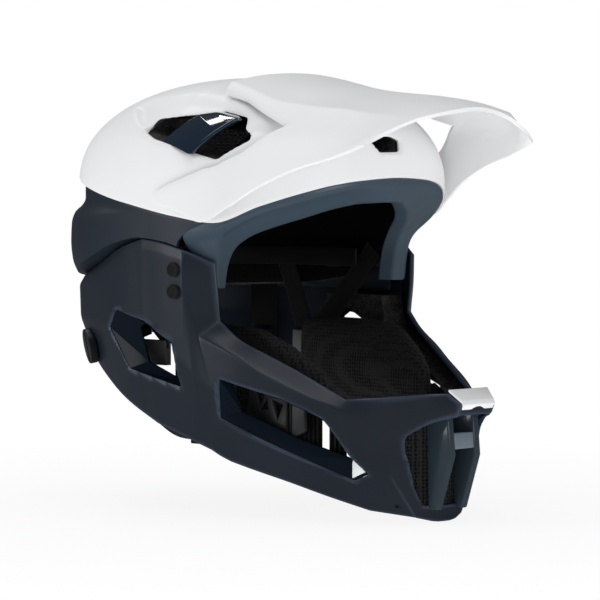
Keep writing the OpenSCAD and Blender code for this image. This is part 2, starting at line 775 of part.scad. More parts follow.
// mouth grille: two bent uprights and a cross piece, as shares of the bar's reach and depth
grille_front_shares = [
  [-0.9445, -0.433], [-0.9445, -0.474], [-0.869, -0.522], [-0.895, -0.664], [-0.828, -0.903], [-0.797, -0.955]
];
cross_front_shares = [[-0.869, -0.567], [-0.886, -0.627]];
module mouth_grille() {
  front = side_outline(grille_front_shares, bar_front, chin_depth);
  last = len(front) - 1;
  back = [for (i = [last:-1:0]) front[i] + [i == last ? grille_t / 3 : grille_t, 0]];
  cross = side_outline(cross_front_shares, bar_front, chin_depth);
  color("black") {
    mirrored()
      side_cut(concat(front, back), grille_x - grille_w / 2, grille_x + grille_w / 2);
    side_cut([cross[0], cross[1], cross[1] + [grille_t, 0], cross[0] + [grille_t, 0]], -grille_x, grille_x);
  }
}

// pale plate let into the top of the chin
plate_half_rear = 18;
plate_half_front = 14.5;
plate_margin = 1.3;
plate_lift = 0.3;
module chin_plate() {
  upper = bar_half[last_half][0];
  crease = bar_half[last_half][1];
  y_rear = upper[1] + plate_margin;
  y_front = crease[1] + plate_margin;
  slope = (crease[2] - upper[2]) / (crease[1] - upper[1]);
  outline = [
    [-plate_half_rear, y_rear], [plate_half_rear, y_rear],
    [plate_half_front, y_front], [-plate_half_front, y_front]
  ];
  color("white")
    translate([0, 0, upper[2] + plate_lift])
      multmatrix([[1, 0, 0, 0], [0, 1, 0, 0], [0, slope, 1, -slope * upper[1]], [0, 0, 0, 1]])
        linear_extrude(plate_t)
          polygon(outline);
}

// pale tips in the front corners of the long recesses
tip_t = 1.2;
tip_share = 0.12;
module vent_tips() {
  rings = surround_rings(long_recess, long_vent);
  a = rings[4];
  b = rings[5];
  lift = [seat_gap, 0, 0];
  sheet = [for (r = [a, b]) [for (s = [tip_share, 1 - tip_share]) mix(r[0], r[1], s) + lift]];
  color("white")
    mirrored()
      slab(sheet, [for (r = sheet) [for (p = r) p + [tip_t, 0, 0]]]);
}

// back plane of the cheek pads
cheek_inset = 40.4;
cheek_back_x = bar_half_w - cheek_inset;

// black truss lattices behind the long vents, as shares of the bar's reach and depth
lattice_x = cheek_back_x + seat_gap;
lattice_t = 3;
lattice_shares = [
  [-0.2, -0.3], [-0.54, -0.4], [-0.54, -0.57], [-0.495, -0.6], [-0.466, -0.7], [-0.2, -0.6]
];
lattice_gap_shares = [
  [[-0.309, -0.388], [-0.356, -0.41], [-0.33, -0.47]],
  [[-0.372, -0.478], [-0.33, -0.485], [-0.362, -0.425]],
  [[-0.387, -0.43], [-0.44, -0.452], [-0.414, -0.53]]
];
module vent_lattices() {
  to_x = lattice_x + lattice_t;
  color("black")
    mirrored()
      difference() {
        intersection() {
          side_cut(long_recess, lattice_x, to_x, seat_gap);
          side_cut(side_outline(lattice_shares, bar_front, chin_depth), lattice_x, to_x);
        }
        for (gap = lattice_gap_shares)
          side_cut(side_outline(gap, bar_front, chin_depth), 0, 2 * lattice_x);
      }
}

// round port caps in the temples of the chin bar
cap_t = 2;
cap_y = -0.118 * bar_front;
cap_high_z = 0.571 * bar_top_z;
cap_low_z = 0.238 * bar_top_z;
module temple_caps() {
  color("black")
    mirrored()
      for (z = [cap_high_z, cap_low_z])
        translate([bar_x(cap_y, z) + seat_gap, cap_y, z])
          rotate([0, 90, 0])
            cylinder(h = cap_t, r = cap_r, $fn = round_fn);
}

// quarter turn release dials low at the back of the chin bar
release_t = 4.4;
release_lift = 0.6;
release_slot_w = 3;
release_slot_depth = 1.6;
shaft_length = 11;
head_half = 6;
head_w = 5;
head_t = 2;
module release_dial() {
  at_release()
    union() {
      difference() {
        translate([0, 0, release_lift])
          cylinder(h = release_t, r = release_r, $fn = round_fn);
        translate([-release_r, -release_slot_w / 2, release_lift + release_t - release_slot_depth])
          cube([2 * release_r, release_slot_w, over]);
      }
      translate([0, 0, -shaft_length])
        cylinder(h = shaft_length + release_lift + release_t / 2, r = shaft_r, $fn = round_fn);
      translate([-head_w / 2, -head_half, -shaft_length - 0.8 * head_t])
        cube([head_w, 2 * head_half, head_t]);
    }
}

module release_dial_left() {
  color("black") release_dial();
}

module release_dial_right() {
  color("black") mirror([1, 0, 0]) release_dial();
}

// clamp plates under the skirt, gripped by the dials' heads and open at the bottom
clamp_half_w = 9;
clamp_t = 2;
clamp_below = 7;
clamp_above = 39;
clamp_play = 0.4;
clamp_depth = shaft_length - head_t - clamp_play;
clamp_gap = 0.6;
module latch_plates() {
  color("black")
    mirrored()
      translate(place(release_shares, bar_size))
        rotate([0, 0, release_turn])
          difference() {
            translate([-clamp_depth, -clamp_half_w, -clamp_below])
              cube([clamp_t, 2 * clamp_half_w, clamp_below + clamp_above]);
            translate([-clamp_depth - over, -shaft_r - clamp_gap, -clamp_below - over])
              cube([2 * over + clamp_t, 2 * (shaft_r + clamp_gap), 2 * clamp_below + over]);
          }
}

// cheek pads: rows of reach, lower edge and upper edge, as shares of the bar's reach and depth
cheek_row_shares = [
  [-0.545, -0.478, -0.321], [-0.45, -0.567, -0.201], [-0.325, -0.612, -0.104],
  [-0.178, -0.597, -0.082], [-0.021, -0.537, -0.082], [0.126, -0.433, -0.119]
];
cheek_nose_inset = 6;
cheek_power = 0.6;
module cheek_pad() {
  m = 6;
  n = len(cheek_row_shares) - 1;
  outer = [for (i = [0:n])
    let (r = cheek_row_shares[i], x = cheek_back_x - cheek_nose_inset * max(0, 2 - i))
    [for (k = [0:m]) [x, r[0] * bar_front, mix(r[1], r[2], k / m) * chin_depth]]];
  inner = [for (i = [0:n]) [for (k = [0:m])
    let (swell = sin(180 * (i + 0.6) / (n + 1.2)) * sin(180 * (k + 0.6) / (m + 1.2)))
    outer[i][k] - [mix(cheek_rim_t, cheek_crown_t, pow(swell, cheek_power)), 0, 0]]];
  slab(outer, inner);
}

module cheek_pad_left() {
  color("black") cheek_pad();
}

module cheek_pad_right() {
  color("black") mirror([1, 0, 0]) cheek_pad();
}

// soft pads under the foam, crowned and drawn in toward their rims
pad_gap = 0.8;
pad_rim_share = 0.35;
module dome_pad(az_from, az_to, z_from, z_to, t) {
  n = 8;
  m = 5;
  gap = foam_t + pad_gap;
  function at(i, j, d) = skin(mix(az_from, az_to, i / n), mix(z_from, z_to, j / m), gap + d);
  function puff(i, j) =
    mix(pad_rim_share, 1, sqrt(sin(180 * (i + 0.7) / (n + 1.4)) * sin(180 * (j + 0.7) / (m + 1.4))));
  outer = [for (i = [0:n]) [for (j = [0:m]) at(i, j, 0)]];
  inner = [for (i = [0:n]) [for (j = [0:m]) at(i, j, t * puff(i, j))]];
  slab(outer, inner);
}

crown_pad_low_z = dome_base_z + 0.314 * dome_rise;
crown_pad_high_z = dome_base_z + 0.543 * dome_rise;
crown_pad_half_az = 62;
module crown_pad_front() {
  color("black")
    dome_pad(-crown_pad_half_az, crown_pad_half_az, crown_pad_low_z, crown_pad_high_z, crown_pad_t);
}

module crown_pad_rear() {
  from_az = 180 - crown_pad_half_az;
  color("black")
    dome_pad(from_az, 360 - from_az, crown_pad_low_z, crown_pad_high_z, crown_pad_t);
}

brow_pad_half_az = 48;
brow_pad_low_z = 1.182 * port_top_z;
brow_pad_high_z = 1.394 * port_top_z;
module brow_pad() {
  color("black")
    dome_pad(-brow_pad_half_az, brow_pad_half_az, brow_pad_low_z, brow_pad_high_z, brow_pad_t);
}

// fit cradle: band, housing and dial at the nape
band_z = 26;
band_clear = 8;
band_depth = foam_t + band_clear;
band_from_az = 80;
band_steps = 20;
module fit_band() {
  low = band_z - band_h / 2;
  high = band_z + band_h / 2;
  az = [for (i = [0:band_steps]) mix(band_from_az, 360 - band_from_az, i / band_steps)];
  outer = [for (a = az) [for (z = [low, high]) skin(a, z, band_depth)]];
  inner = [for (a = az) [for (z = [low, high]) skin(a, z, band_depth + band_t)]];
  color("black") slab(outer, inner);
}

housing_half_w = 21;
housing_h = 42;
housing_t = 5;
housing_y = shell_rear - band_depth;
housing_top_z = band_z - band_h / 2 - seat_gap;
dial_shaft_r = 3.8;
dial_below = 2;
dial_z = foam_z(180) - dial_r - dial_below;
module fit_housing() {
  color("black")
    translate([0, housing_y + seat_gap, 0])
      difference() {
        translate([-housing_half_w, 0, housing_top_z - housing_h])
          cube([2 * housing_half_w, housing_t, housing_h]);
        translate([0, -over, dial_z])
          rotate([-90, 0, 0])
            cylinder(h = housing_t + 2 * over, r = dial_shaft_r + seat_gap, $fn = round_fn);
      }
}

dial_ribs = 24;
rib_r = 1.1;
rib_stand = 0.5;
rib_fn = 16;
module fit_dial() {
  color("dimgray")
    translate([0, housing_y + housing_t + 2 * seat_gap, dial_z])
      rotate([-90, 0, 0])
        union() {
          difference() {
            cylinder(h = dial_t, r = dial_r, $fn = 2 * dial_ribs);
            for (k = [0:dial_ribs - 1])
              rotate([0, 0, k * 360 / dial_ribs])
                translate([dial_r + rib_stand, 0, -over])
                  cylinder(h = dial_t + 2 * over, r = rib_r, $fn = rib_fn);
          }
          translate([0, 0, -housing_t])
            cylinder(h = housing_t + dial_t / 2, r = dial_shaft_r, $fn = round_fn);
        }
}

// guides that hold the ends of the fit band against the foam
guide_y = 5;
guide_length = 12;
guide_margin = 1;
module band_guides() {
  guide_h = band_h + 2 * guide_margin;
  from_x = shell_half_w - band_depth + layer_gap;
  color("black")
    mirrored()
      translate([from_x, guide_y, band_z - guide_h / 2])
        cube([band_clear - 4 * layer_gap, guide_length, guide_h]);
}

// straps: a front and a rear leg meeting at a divider below the ear
divider_shares = [0.693, 0.234, -0.221];
front_anchor_shares = [0.736, -0.202, 0.221];
rear_anchor_shares = [0.665, 0.406, 0.152];
divider_at = place(divider_shares, shell_size);
front_anchor = place(front_anchor_shares, shell_size);
rear_anchor = place(rear_anchor_shares, shell_size);
leg_bow = 1;
leg_spread = 7;
leg_above = 9.5;
front_leg_lie = [0, 0.8, 0.6];
rear_leg_lie = [0, 0.96, -0.28];
function leg(from, to) = [for (s = steps(6)) mix(from, to, s) + [leg_bow * sin(180 * s), 0, 0]];
module webbing(path, lie) {
  rows = [for (p = path) [p - lie * webbing_w / 2, p + lie * webbing_w / 2]];
  slab(rows, grid_shift(rows, -webbing_t, false));
}

module strap() {
  webbing(leg(front_anchor, divider_at + [0, -leg_spread, leg_above]), front_leg_lie);
  webbing(leg(rear_anchor, divider_at + [0, leg_spread, leg_above]), rear_leg_lie);
}

module strap_left() {
  color("black") strap();
}

module strap_right() {
  color("black") mirror([1, 0, 0]) strap();
}

divider_t = 5;
divider_half_l = 15;
divider_half_h = 8;
divider_wall = 0.9;
divider_play = 1.5;
module strap_divider() {
  slot_t = divider_t - 2 * divider_wall;
  low_half = webbing_w / 2 + divider_play;
  translate(divider_at - [(divider_t + webbing_t) / 2, 0, 0])
    difference() {
      translate([0, -divider_half_l, -divider_half_h])
        cube([divider_t, 2 * divider_half_l, 2 * divider_half_h]);
      translate([divider_wall, -divider_half_l - over, divider_half_h - leg_above / 2])
        cube([slot_t, 2 * (divider_half_l + over), leg_above]);
      translate([divider_wall, -low_half, -divider_half_h - over])
        cube([slot_t, 2 * low_half, divider_half_h + over]);
    }
}

module strap_divider_left() {
  color("gray") strap_divider();
}

module strap_divider_right() {
  color("gray") mirror([1, 0, 0]) strap_divider();
}

// chin strap and its buckle under the jaw, as shares of the shell's half width, reach and height
chin_strap_shares = [
  [0.682, 0.25, -0.279], [0.67, 0.266, -0.386], [0.594, 0.281, -0.49], [0.462, 0.289, -0.569],
  [0.33, 0.297, -0.617], [0.217, 0.297, -0.634]
];
chin_path = [for (s = chin_strap_shares) place(s, shell_size)];
buckle_y = chin_path[len(chin_path) - 1][1];
buckle_z = chin_path[len(chin_path) - 1][2];
module chin_strap() {
  color("black")
    mirrored() webbing(chin_path, [0, 1, 0]);
}

socket_length = 21.5;
socket_h = 7;
socket_wall = 2;
socket_end = 2.6;
socket_margin = 1.5;
tongue_h = 3;
tongue_half_w = 6;
tongue_end = 14;
buckle_gap = 0.6;
strap_end_x = chin_path[len(chin_path) - 1][0];
module buckle_socket() {
  width = webbing_w + 2 * socket_margin;
  slot_h = tongue_h + 2 * buckle_gap;
  slot_from = strap_end_x - seat_gap - tongue_end - socket_end;
  color("black")
    translate([seat_gap - strap_end_x, buckle_y - width / 2, buckle_z - socket_h / 2])
      difference() {
        cube([socket_length, width, socket_h]);
        translate([slot_from, -over, (socket_h - slot_h) / 2])
          cube([socket_length + over, width - socket_wall + over, slot_h]);
      }
}

module buckle_tongue() {
  color("black")
    translate([-tongue_end, buckle_y - tongue_half_w, buckle_z - tongue_h / 2])
      cube([tongue_end + strap_end_x - seat_gap, 2 * tongue_half_w, tongue_h]);
}

anchor_r = 5;
anchor_t = 0.5;
anchor_lift = 0.7;
module strap_anchors() {
  color("gray")
    mirrored()
      for (p = [front_anchor, rear_anchor])
        translate(p + [anchor_lift, 0, 0])
          rotate([0, 90, 0])
            cylinder(h = anchor_t, r = anchor_r, $fn = round_fn);
}

// grilles in the rear slots
grille_bar_w = 2.4;
grille_bar_t = 5;
grille_bar_step = 10;
module rear_grille() {
  low_z = rear_vent[5][1] - foam_ease + seat_gap;
  high_z = rear_vent[1][1] + foam_ease - seat_gap;
  middle_x = (rear_vent[1][0] + rear_vent[2][0]) / 2;
  middle_y = 0.72 * shell_rear;
  color("black")
    mirrored()
      for (x = [-grille_bar_step, 0, grille_bar_step])
        translate([middle_x + x - grille_bar_w / 2, middle_y - 1.05 * x, low_z])
          cube([grille_bar_w, grille_bar_t, high_z - low_z]);
}

upper_shell();
lower_shell();
brow_rim();
foam_liner();
roll_bar_left();
roll_bar_right();
visor();
visor_pivots();
visor_channel();
chin_bar();
vent_surround_left();
vent_surround_right();
bar_foam_left();
bar_foam_right();
mouth_grille();
chin_plate();
vent_tips();
vent_lattices();
temple_caps();
release_dial_left();
release_dial_right();
latch_plates();
cheek_pad_left();
cheek_pad_right();
crown_pad_front();
crown_pad_rear();
brow_pad();
fit_band();
fit_housing();
fit_dial();
band_guides();
strap_left();
strap_right();
strap_divider_left();
strap_divider_right();
chin_strap();
buckle_socket();
buckle_tongue();
strap_anchors();
rear_grille();
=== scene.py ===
import math

import bmesh
import bpy
import numpy as np
from mathutils import Matrix, Vector


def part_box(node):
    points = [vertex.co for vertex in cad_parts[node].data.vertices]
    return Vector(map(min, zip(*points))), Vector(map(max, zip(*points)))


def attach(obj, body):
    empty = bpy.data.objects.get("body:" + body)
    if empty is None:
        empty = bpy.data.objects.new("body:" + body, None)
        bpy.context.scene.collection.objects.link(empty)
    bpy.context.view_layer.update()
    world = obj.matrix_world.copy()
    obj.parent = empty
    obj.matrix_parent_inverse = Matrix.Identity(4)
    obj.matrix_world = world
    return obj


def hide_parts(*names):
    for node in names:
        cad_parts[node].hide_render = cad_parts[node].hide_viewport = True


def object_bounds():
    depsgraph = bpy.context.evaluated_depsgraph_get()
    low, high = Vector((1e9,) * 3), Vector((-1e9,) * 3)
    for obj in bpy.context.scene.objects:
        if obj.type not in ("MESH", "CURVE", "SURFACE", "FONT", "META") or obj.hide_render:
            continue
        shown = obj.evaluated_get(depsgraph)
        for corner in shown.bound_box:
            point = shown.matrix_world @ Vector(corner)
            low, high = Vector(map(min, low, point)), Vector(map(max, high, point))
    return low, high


bl_info = {
    "name": "Downhill helmet builder",
    "version": (1, 0, 0),
    "blender": (4, 5, 0),
    "location": "View3D > Sidebar > Helmet",
    "description": "Builds the shells, visor, chin bar, pads and straps of a full face bike helmet",
    "category": "Add Mesh",
}

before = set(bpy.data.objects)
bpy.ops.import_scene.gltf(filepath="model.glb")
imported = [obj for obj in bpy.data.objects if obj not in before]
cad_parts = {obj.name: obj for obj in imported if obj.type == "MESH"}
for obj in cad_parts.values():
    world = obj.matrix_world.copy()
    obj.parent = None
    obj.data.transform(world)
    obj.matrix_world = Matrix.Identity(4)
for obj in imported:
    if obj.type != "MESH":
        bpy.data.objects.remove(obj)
CAD_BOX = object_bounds()

# the helmet's master form, in millimetres, as in the construction
HALF_W, FRONT, REAR = 106.0, 119.0, 128.0
DOME_BASE, DOME_RISE = 75.0, 70.0
CROWN = DOME_BASE + DOME_RISE
PLAN_POWER, DOME_POWER = 2.25, 2.2
SHELL_T, LAYER_GAP, FOAM_GAP, FOAM_T = 2.4, 0.4, 1.3, 24.0
TUCK = SHELL_T + LAYER_GAP
FLUSH = TUCK - 1.6
SHELL_SIZE = (HALF_W, FRONT, REAR, CROWN, CROWN)

# the seam under the white shell and the navy shell below it
BROW_Z, TEMPLE_Z, EAR_Z, REAR_Z = 83.0, 55.0, 65.0, 84.0
TUCK_H = 5.0
OCCIPUT_SWELL, NAPE_DIP = 13.0, 4.0
SKIRT_STEP, SKIRT_BOTTOM = 9.8, 5.0
SEAM_AZ, SEAM_LEAN, LEAN_FADE, FLANK_AZ = 65.0, 11.0, 40.0, 76.0

# the eye port's rim
PORT_TOP, RIM_END, RIM_T = 66.0, 12.0, 2.4

# the chin bar
CHIN_REACH, CHIN_DEPTH = 72.0, 134.0
BAR_TOP, BAR_INSET, BAR_T = 42.0, 2.0, 2.8
BAR_W, BAR_FRONT, BAR_REAR = HALF_W - BAR_INSET, FRONT + CHIN_REACH, REAR + 0.35
BAR_SIZE = (BAR_W, BAR_FRONT, BAR_REAR, BAR_TOP, CHIN_DEPTH)

# the visor
VISOR_W, VISOR_FRONT, VISOR_T = HALF_W + 4.0, FRONT + 70.0, 2.6
TONGUE_LIFT, TONGUE_RECESS = 3.4, 2.4
VISOR_SIZE = (VISOR_W, VISOR_FRONT, VISOR_FRONT, CROWN + TONGUE_LIFT, CROWN)

# tables by the angle from the front in degrees: the seam's height, the bar's top edge as a share of
# its highest point, and the eye port's rim as shares of the shell's width, length and the port's height
EDGE_LINE = [
    (0, BROW_Z), (14, 81.5), (23, 79), (34, 73.5), (46, 66), (62, TEMPLE_Z), (77, 58.5), (95, 64),
    (98, EAR_Z), (108, 68), (131, 76), (150, 82), (180, REAR_Z),
]
BAR_EDGE = [
    (60, 0.714), (74, 0.871), (82, 0.962), (95, 1.014), (107, 0.917), (125, 0.631), (145, 0.381),
    (180, 0.214),
]
PORT = [
    (0, 0, -0.924, 1), (9, 0.16, -0.891, 0.992), (18, 0.311, -0.803, 0.939), (27, 0.443, -0.706, 0.856),
    (36, 0.552, -0.605, 0.78), (45, 0.651, -0.483, 0.674), (52, 0.698, -0.408, 0.545),
    (59, 0.712, -0.374, 0.394), (65, 0.717, -0.353, 0.182),
]
CORNER = [
    (0, 0, -0.996, 1.152), (9, 0.179, -0.966, 1.136), (18, 0.349, -0.891, 1.076), (27, 0.5, -0.807, 1),
    (36, 0.642, -0.689, 0.909), (45, 0.764, -0.555, 0.818), (52, 0.83, -0.445, 0.697),
    (59, 0.823, -0.391, 0.5), (65, 0.809, -0.378, 0.182),
]
FLANK = [(0, 0), (45, 0.1), (52, 0.35), (59, 0.75), (65, 1)]
FOAM_EDGE = [
    (0, 1.152), (30, 1.061), (50, 0.864), (62, 0.636), (75, 0.394), (95, 0.242), (120, 0.167),
    (180, 0.136),
]
# the swell of the occiput from its lower to its upper end
SWELL = [
    (0, 0), (0.125, 0.5), (0.286, 0.88), (0.5, 1), (0.714, 0.95), (0.839, 0.72), (0.929, 0.2), (1, 0),
]

# openings in the shells, as shares of the form's reach and height
SIDE_VENT = [
    (0.132, 0.761), (0.114, 0.819), (-0.182, 0.843), (-0.273, 0.853), (-0.442, 0.829),
    (-0.493, 0.776), (-0.573, 0.737), (-0.435, 0.646), (-0.124, 0.708), (0.034, 0.732),
]
FRONT_VENT = [
    (-0.123, 0.724), (-0.061, 0.745), (0.061, 0.745), (0.123, 0.724), (0.086, 0.676), (-0.086, 0.676),
]
REAR_VENT = [
    (0.255, 0.736), (0.354, 0.768), (0.552, 0.768), (0.651, 0.736), (0.592, 0.661), (0.314, 0.661),
]
# the side vent's lower edge, and the dish round that vent, seen from the side in millimetres
VENT_LOW = [(15.7, 110.3), (4, 106.1), (-14.8, 102.7), (-51.8, 93.7), (-68.2, 106.9)]
DISH = [
    (15, 108.5), (53, 127), (40, 132), (6, 136), (-30, 133), (-60, 124), (-82, 112), (-71, 105.5),
    (-52, 92.5), (-15, 102), (4, 105.5),
]

# the visor's cross rows from crown to tip, each from the middle to the edge, as shares of its size
VISOR_ROWS = [
    [(0, -0.127, 1), (0.245, -0.127, 0.992), (0.473, -0.127, 0.965), (0.495, -0.127, 0.957),
     (0.995, -0.048, 0.485), (1, -0.074, 0.448)],
    [(0, -0.254, 0.978), (0.255, -0.254, 0.966), (0.518, -0.259, 0.925), (0.555, -0.254, 0.907),
     (0.973, -0.164, 0.566), (1, -0.18, 0.414)],
    [(0, -0.381, 0.95), (0.264, -0.381, 0.937), (0.555, -0.381, 0.885), (0.618, -0.381, 0.85),
     (0.907, -0.302, 0.64), (0.977, -0.275, 0.377)],
    [(0, -0.503, 0.93), (0.273, -0.503, 0.918), (0.568, -0.503, 0.866), (0.682, -0.519, 0.792),
     (0.795, -0.423, 0.724), (0.923, -0.365, 0.441)],
    [(0, -0.624, 0.92), (0.273, -0.624, 0.906), (0.591, -0.624, 0.856), (0.659, -0.603, 0.815),
     (0.75, -0.571, 0.755), (0.864, -0.476, 0.526)],
    [(0, -0.751, 0.91), (0.273, -0.746, 0.896), (0.6, -0.73, 0.849), (0.632, -0.72, 0.822),
     (0.718, -0.709, 0.748), (0.805, -0.619, 0.603)],
    [(0, -0.878, 0.893), (0.273, -0.868, 0.876), (0.573, -0.836, 0.832), (0.614, -0.825, 0.809),
     (0.691, -0.799, 0.745), (0.755, -0.757, 0.654)],
    [(0, -1, 0.863), (0.218, -0.974, 0.842), (0.382, -0.942, 0.815), (0.491, -0.923, 0.788),
     (0.6, -0.905, 0.755), (0.705, -0.873, 0.714)],
]
VISOR_NOTCH = [
    (0.505, -0.079), (0.564, -0.254), (0.627, -0.381), (0.686, -0.521), (0.791, -0.426), (0.9, -0.307),
    (0.964, -0.164), (0.984, -0.042), (0.984, 0.079), (0.505, 0.079),
]

# the chin bar's stations from the nape to the chin, each from the inner top edge to the foot
BAR_STATIONS = [
    [(0, 0.982, 0.19), (0, 1.001, 0.071), (0, 0.993, -0.09), (0, 0.927, -0.194)],
    [(0.365, 0.943, 0.214), (0.375, 0.958, 0.095), (0.375, 0.951, -0.09), (0.346, 0.888, -0.201)],
    [(0.673, 0.767, 0.333), (0.692, 0.783, 0.214), (0.692, 0.775, -0.09), (0.644, 0.725, -0.246)],
    [(0.856, 0.491, 0.571), (0.875, 0.499, 0.452), (0.875, 0.491, -0.104), (0.808, 0.46, -0.373)],
    [(0.96, 0.234, 0.857), (0.971, 0.234, 0.738), (0.971, 0.234, -0.119), (0.875, 0.234, -0.478)],
    [(0.986, 0.062, 1), (0.995, 0.062, 0.881), (0.99, 0.047, -0.164), (0.885, 0.039, -0.56)],
    [(0.99, -0.073, 0.94), (1, -0.073, 0.81), (0.986, -0.073, -0.224), (0.865, -0.084, -0.612)],
    [(0.98, -0.147, 0.857), (0.99, -0.152, 0.738), (0.971, -0.152, -0.269), (0.846, -0.157, -0.649)],
    [(0.885, -0.246, 0.667), (0.971, -0.162, 0.357), (0.962, -0.183, -0.313), (0.827, -0.199, -0.672)],
    [(0.87, -0.251, 0.238), (0.957, -0.178, -0.022), (0.942, -0.215, -0.343), (0.808, -0.236, -0.701)],
    [(0.846, -0.251, -0.067), (0.938, -0.204, -0.134), (0.923, -0.257, -0.381), (0.788, -0.272, -0.724)],
    [(0.803, -0.325, -0.149), (0.894, -0.33, -0.205), (0.885, -0.351, -0.448), (0.731, -0.351, -0.761)],
    [(0.731, -0.429, -0.224), (0.837, -0.44, -0.295), (0.798, -0.476, -0.537), (0.635, -0.461, -0.813)],
    [(0.654, -0.539, -0.302), (0.74, -0.573, -0.384), (0.683, -0.594, -0.616), (0.51, -0.573, -0.876)],
    [(0.567, -0.686, -0.416), (0.615, -0.686, -0.463), (0.558, -0.702, -0.694), (0.365, -0.691, -0.94)],
    [(0.433, -0.801, -0.407), (0.471, -0.767, -0.537), (0.375, -0.796, -0.776), (0.202, -0.817, -0.97)],
    [(0.288, -0.885, -0.396), (0.298, -0.874, -0.493), (0.24, -0.843, -0.784), (0.115, -0.838, -0.985)],
    [(0.183, -0.948, -0.384), (0.149, -0.995, -0.433), (0.135, -0.88, -0.806), (0.058, -0.843, -0.992)],
    [(0, -0.955, -0.384), (0, -1, -0.433), (0, -0.885, -0.806), (0, -0.846, -0.992)],
]
BAR_CREASES = (5, 7, 8, 10, 14, 15, 17)
BAR_RECESS = [
    (0.236, -0.116), (0.19, -0.026), (0.037, -0.071), (-0.098, -0.172), (-0.115, -0.381), (0.141, -0.309),
]
LONG_RECESS = [
    (-0.285, -0.332), (-0.502, -0.414), (-0.589, -0.47), (-0.636, -0.511), (-0.734, -0.766),
    (-0.684, -0.798), (-0.529, -0.69), (-0.267, -0.519),
]
MOUTH = [
    (0.118, -0.485), (0.232, -0.519), (0.327, -0.588), (0.317, -0.649), (0.242, -0.823),
    (0.17, -0.918), (-0.17, -0.918), (-0.242, -0.823), (-0.317, -0.649), (-0.327, -0.588),
    (-0.232, -0.519), (-0.118, -0.485),
]


class HelmetSettings(bpy.types.PropertyGroup):
    """Sizes and finishes of the dressed helmet"""

    cell: bpy.props.FloatProperty(
        name="Panel cell", description="Edge length of the shells' fine mesh in millimetres",
        default=1.9, min=1.2, max=6.0,
    )
    edge_round: bpy.props.FloatProperty(
        name="Edge round", description="Radius rolled over round an opening in millimetres",
        default=1.8, min=0.5, max=4.0,
    )
    dish_depth: bpy.props.FloatProperty(
        name="Dish depth", description="Depth of the dish round each upper vent in millimetres",
        default=3.3, min=0.0, max=3.5,
    )
    pad_voxel: bpy.props.FloatProperty(
        name="Pad voxel", description="Voxel size of the pads before they swell",
        default=0.005, min=0.004, max=0.008, unit="LENGTH",
    )
    pad_pressure: bpy.props.FloatProperty(
        name="Pad pressure", description="Air pressure that swells the pads",
        default=4.0, min=0.0, max=10.0,
    )
    pad_cap: bpy.props.FloatProperty(
        name="Pad swell cap", description="Furthest that a point of a pad may move",
        default=0.006, min=0.0, max=0.02, unit="LENGTH",
    )
    white: bpy.props.FloatVectorProperty(
        name="Shell white", description="Colour of the white lacquer", subtype="COLOR",
        size=4, min=0.0, max=1.0, default=(0.81, 0.812, 0.818, 1.0),
    )
    navy: bpy.props.FloatVectorProperty(
        name="Shell navy", description="Colour of the lower shell", subtype="COLOR",
        size=4, min=0.0, max=1.0, default=(0.0135, 0.0215, 0.0345, 1.0),
    )
    rim_blue: bpy.props.FloatVectorProperty(
        name="Rim blue", description="Colour of the brow rim", subtype="COLOR",
        size=4, min=0.0, max=1.0, default=(0.042, 0.068, 0.094, 1.0),
    )
    bar_navy: bpy.props.FloatVectorProperty(
        name="Bar navy", description="Colour of the chin bar", subtype="COLOR",
        size=4, min=0.0, max=1.0, default=(0.0115, 0.0165, 0.0275, 1.0),
    )
    weave: bpy.props.FloatProperty(
        name="Weave pitch", description="Ribs per metre of the strap webbing",
        default=900.0, min=200.0, max=2000.0,
    )


# forms

# how far a rolled edge reaches, as a share of a full half round
ROLL_SHARE = 0.8


def unit(v):
    """Vectors scaled to length one."""
    return v / np.maximum(np.linalg.norm(v, axis=-1, keepdims=True), 1e-9)


def mix(a, b, share):
    """A blend from one value to another."""
    return a + (b - a) * share


def ramp(x, low, high):
    """0 up to low, 1 from high on, smooth in between."""
    t = np.clip((x - low) / (high - low), 0, 1)
    return t * t * (3 - 2 * t)


def place(shares, size):
    """Points from shares of a form's size: half width, front, rear, top and depth."""
    s = np.asarray(shares, float)
    y = s[..., 1] * np.where(s[..., 1] < 0, size[1], size[2])
    z = s[..., 2] * np.where(s[..., 2] < 0, size[4], size[3])
    return np.stack([s[..., 0] * size[0], y, z], -1)


def side_outline(shares, reach, height):
    """An outline from shares of a reach and a height."""
    return np.array([(reach * a, height * b) for a, b in shares])


def bend(t, start, end, start_slope, end_slope):
    """Point on a smooth curve between two points with a slope at each."""
    return (
        (1 + 2 * t) * (1 - t) ** 2 * start + t * (1 - t) ** 2 * start_slope
        + t * t * (3 - 2 * t) * end + t * t * (t - 1) * end_slope
    )


def soft_curve(xs, ys, at):
    """Smooth curve through a table that never overshoots it."""
    x, y, at = np.asarray(xs, float), np.asarray(ys, float), np.asarray(at, float)
    h = np.diff(x)
    d = np.diff(y) / h
    m = np.zeros(len(x))
    same = d[:-1] * d[1:] > 0
    w1, w2 = 2 * h[1:] + h[:-1], h[1:] + 2 * h[:-1]
    safe = np.where(same, d[:-1], 1), np.where(same, d[1:], 1)
    m[1:-1] = np.where(same, (w1 + w2) / (w1 / safe[0] + w2 / safe[1]), 0)
    a = np.clip(at, x[0], x[-1])
    i = np.clip(np.searchsorted(x, a, side="right") - 1, 0, len(x) - 2)
    t = (a - x[i]) / h[i]
    return bend(t, y[i], y[i + 1], h[i] * m[i], h[i] * m[i + 1])


def table_curve(table, at, k=1):
    """Smooth curve through column k of a table whose first column is the place."""
    return soft_curve([r[0] for r in table], [r[k] for r in table], at)


def fold(az):
    """Angle from the front, the same on both sides."""
    a = np.mod(az, 360)
    return np.where(a > 180, 360 - a, a)


def line_z(az):
    """Height of the seam between the white and the navy shell."""
    return table_curve(EDGE_LINE, fold(az))


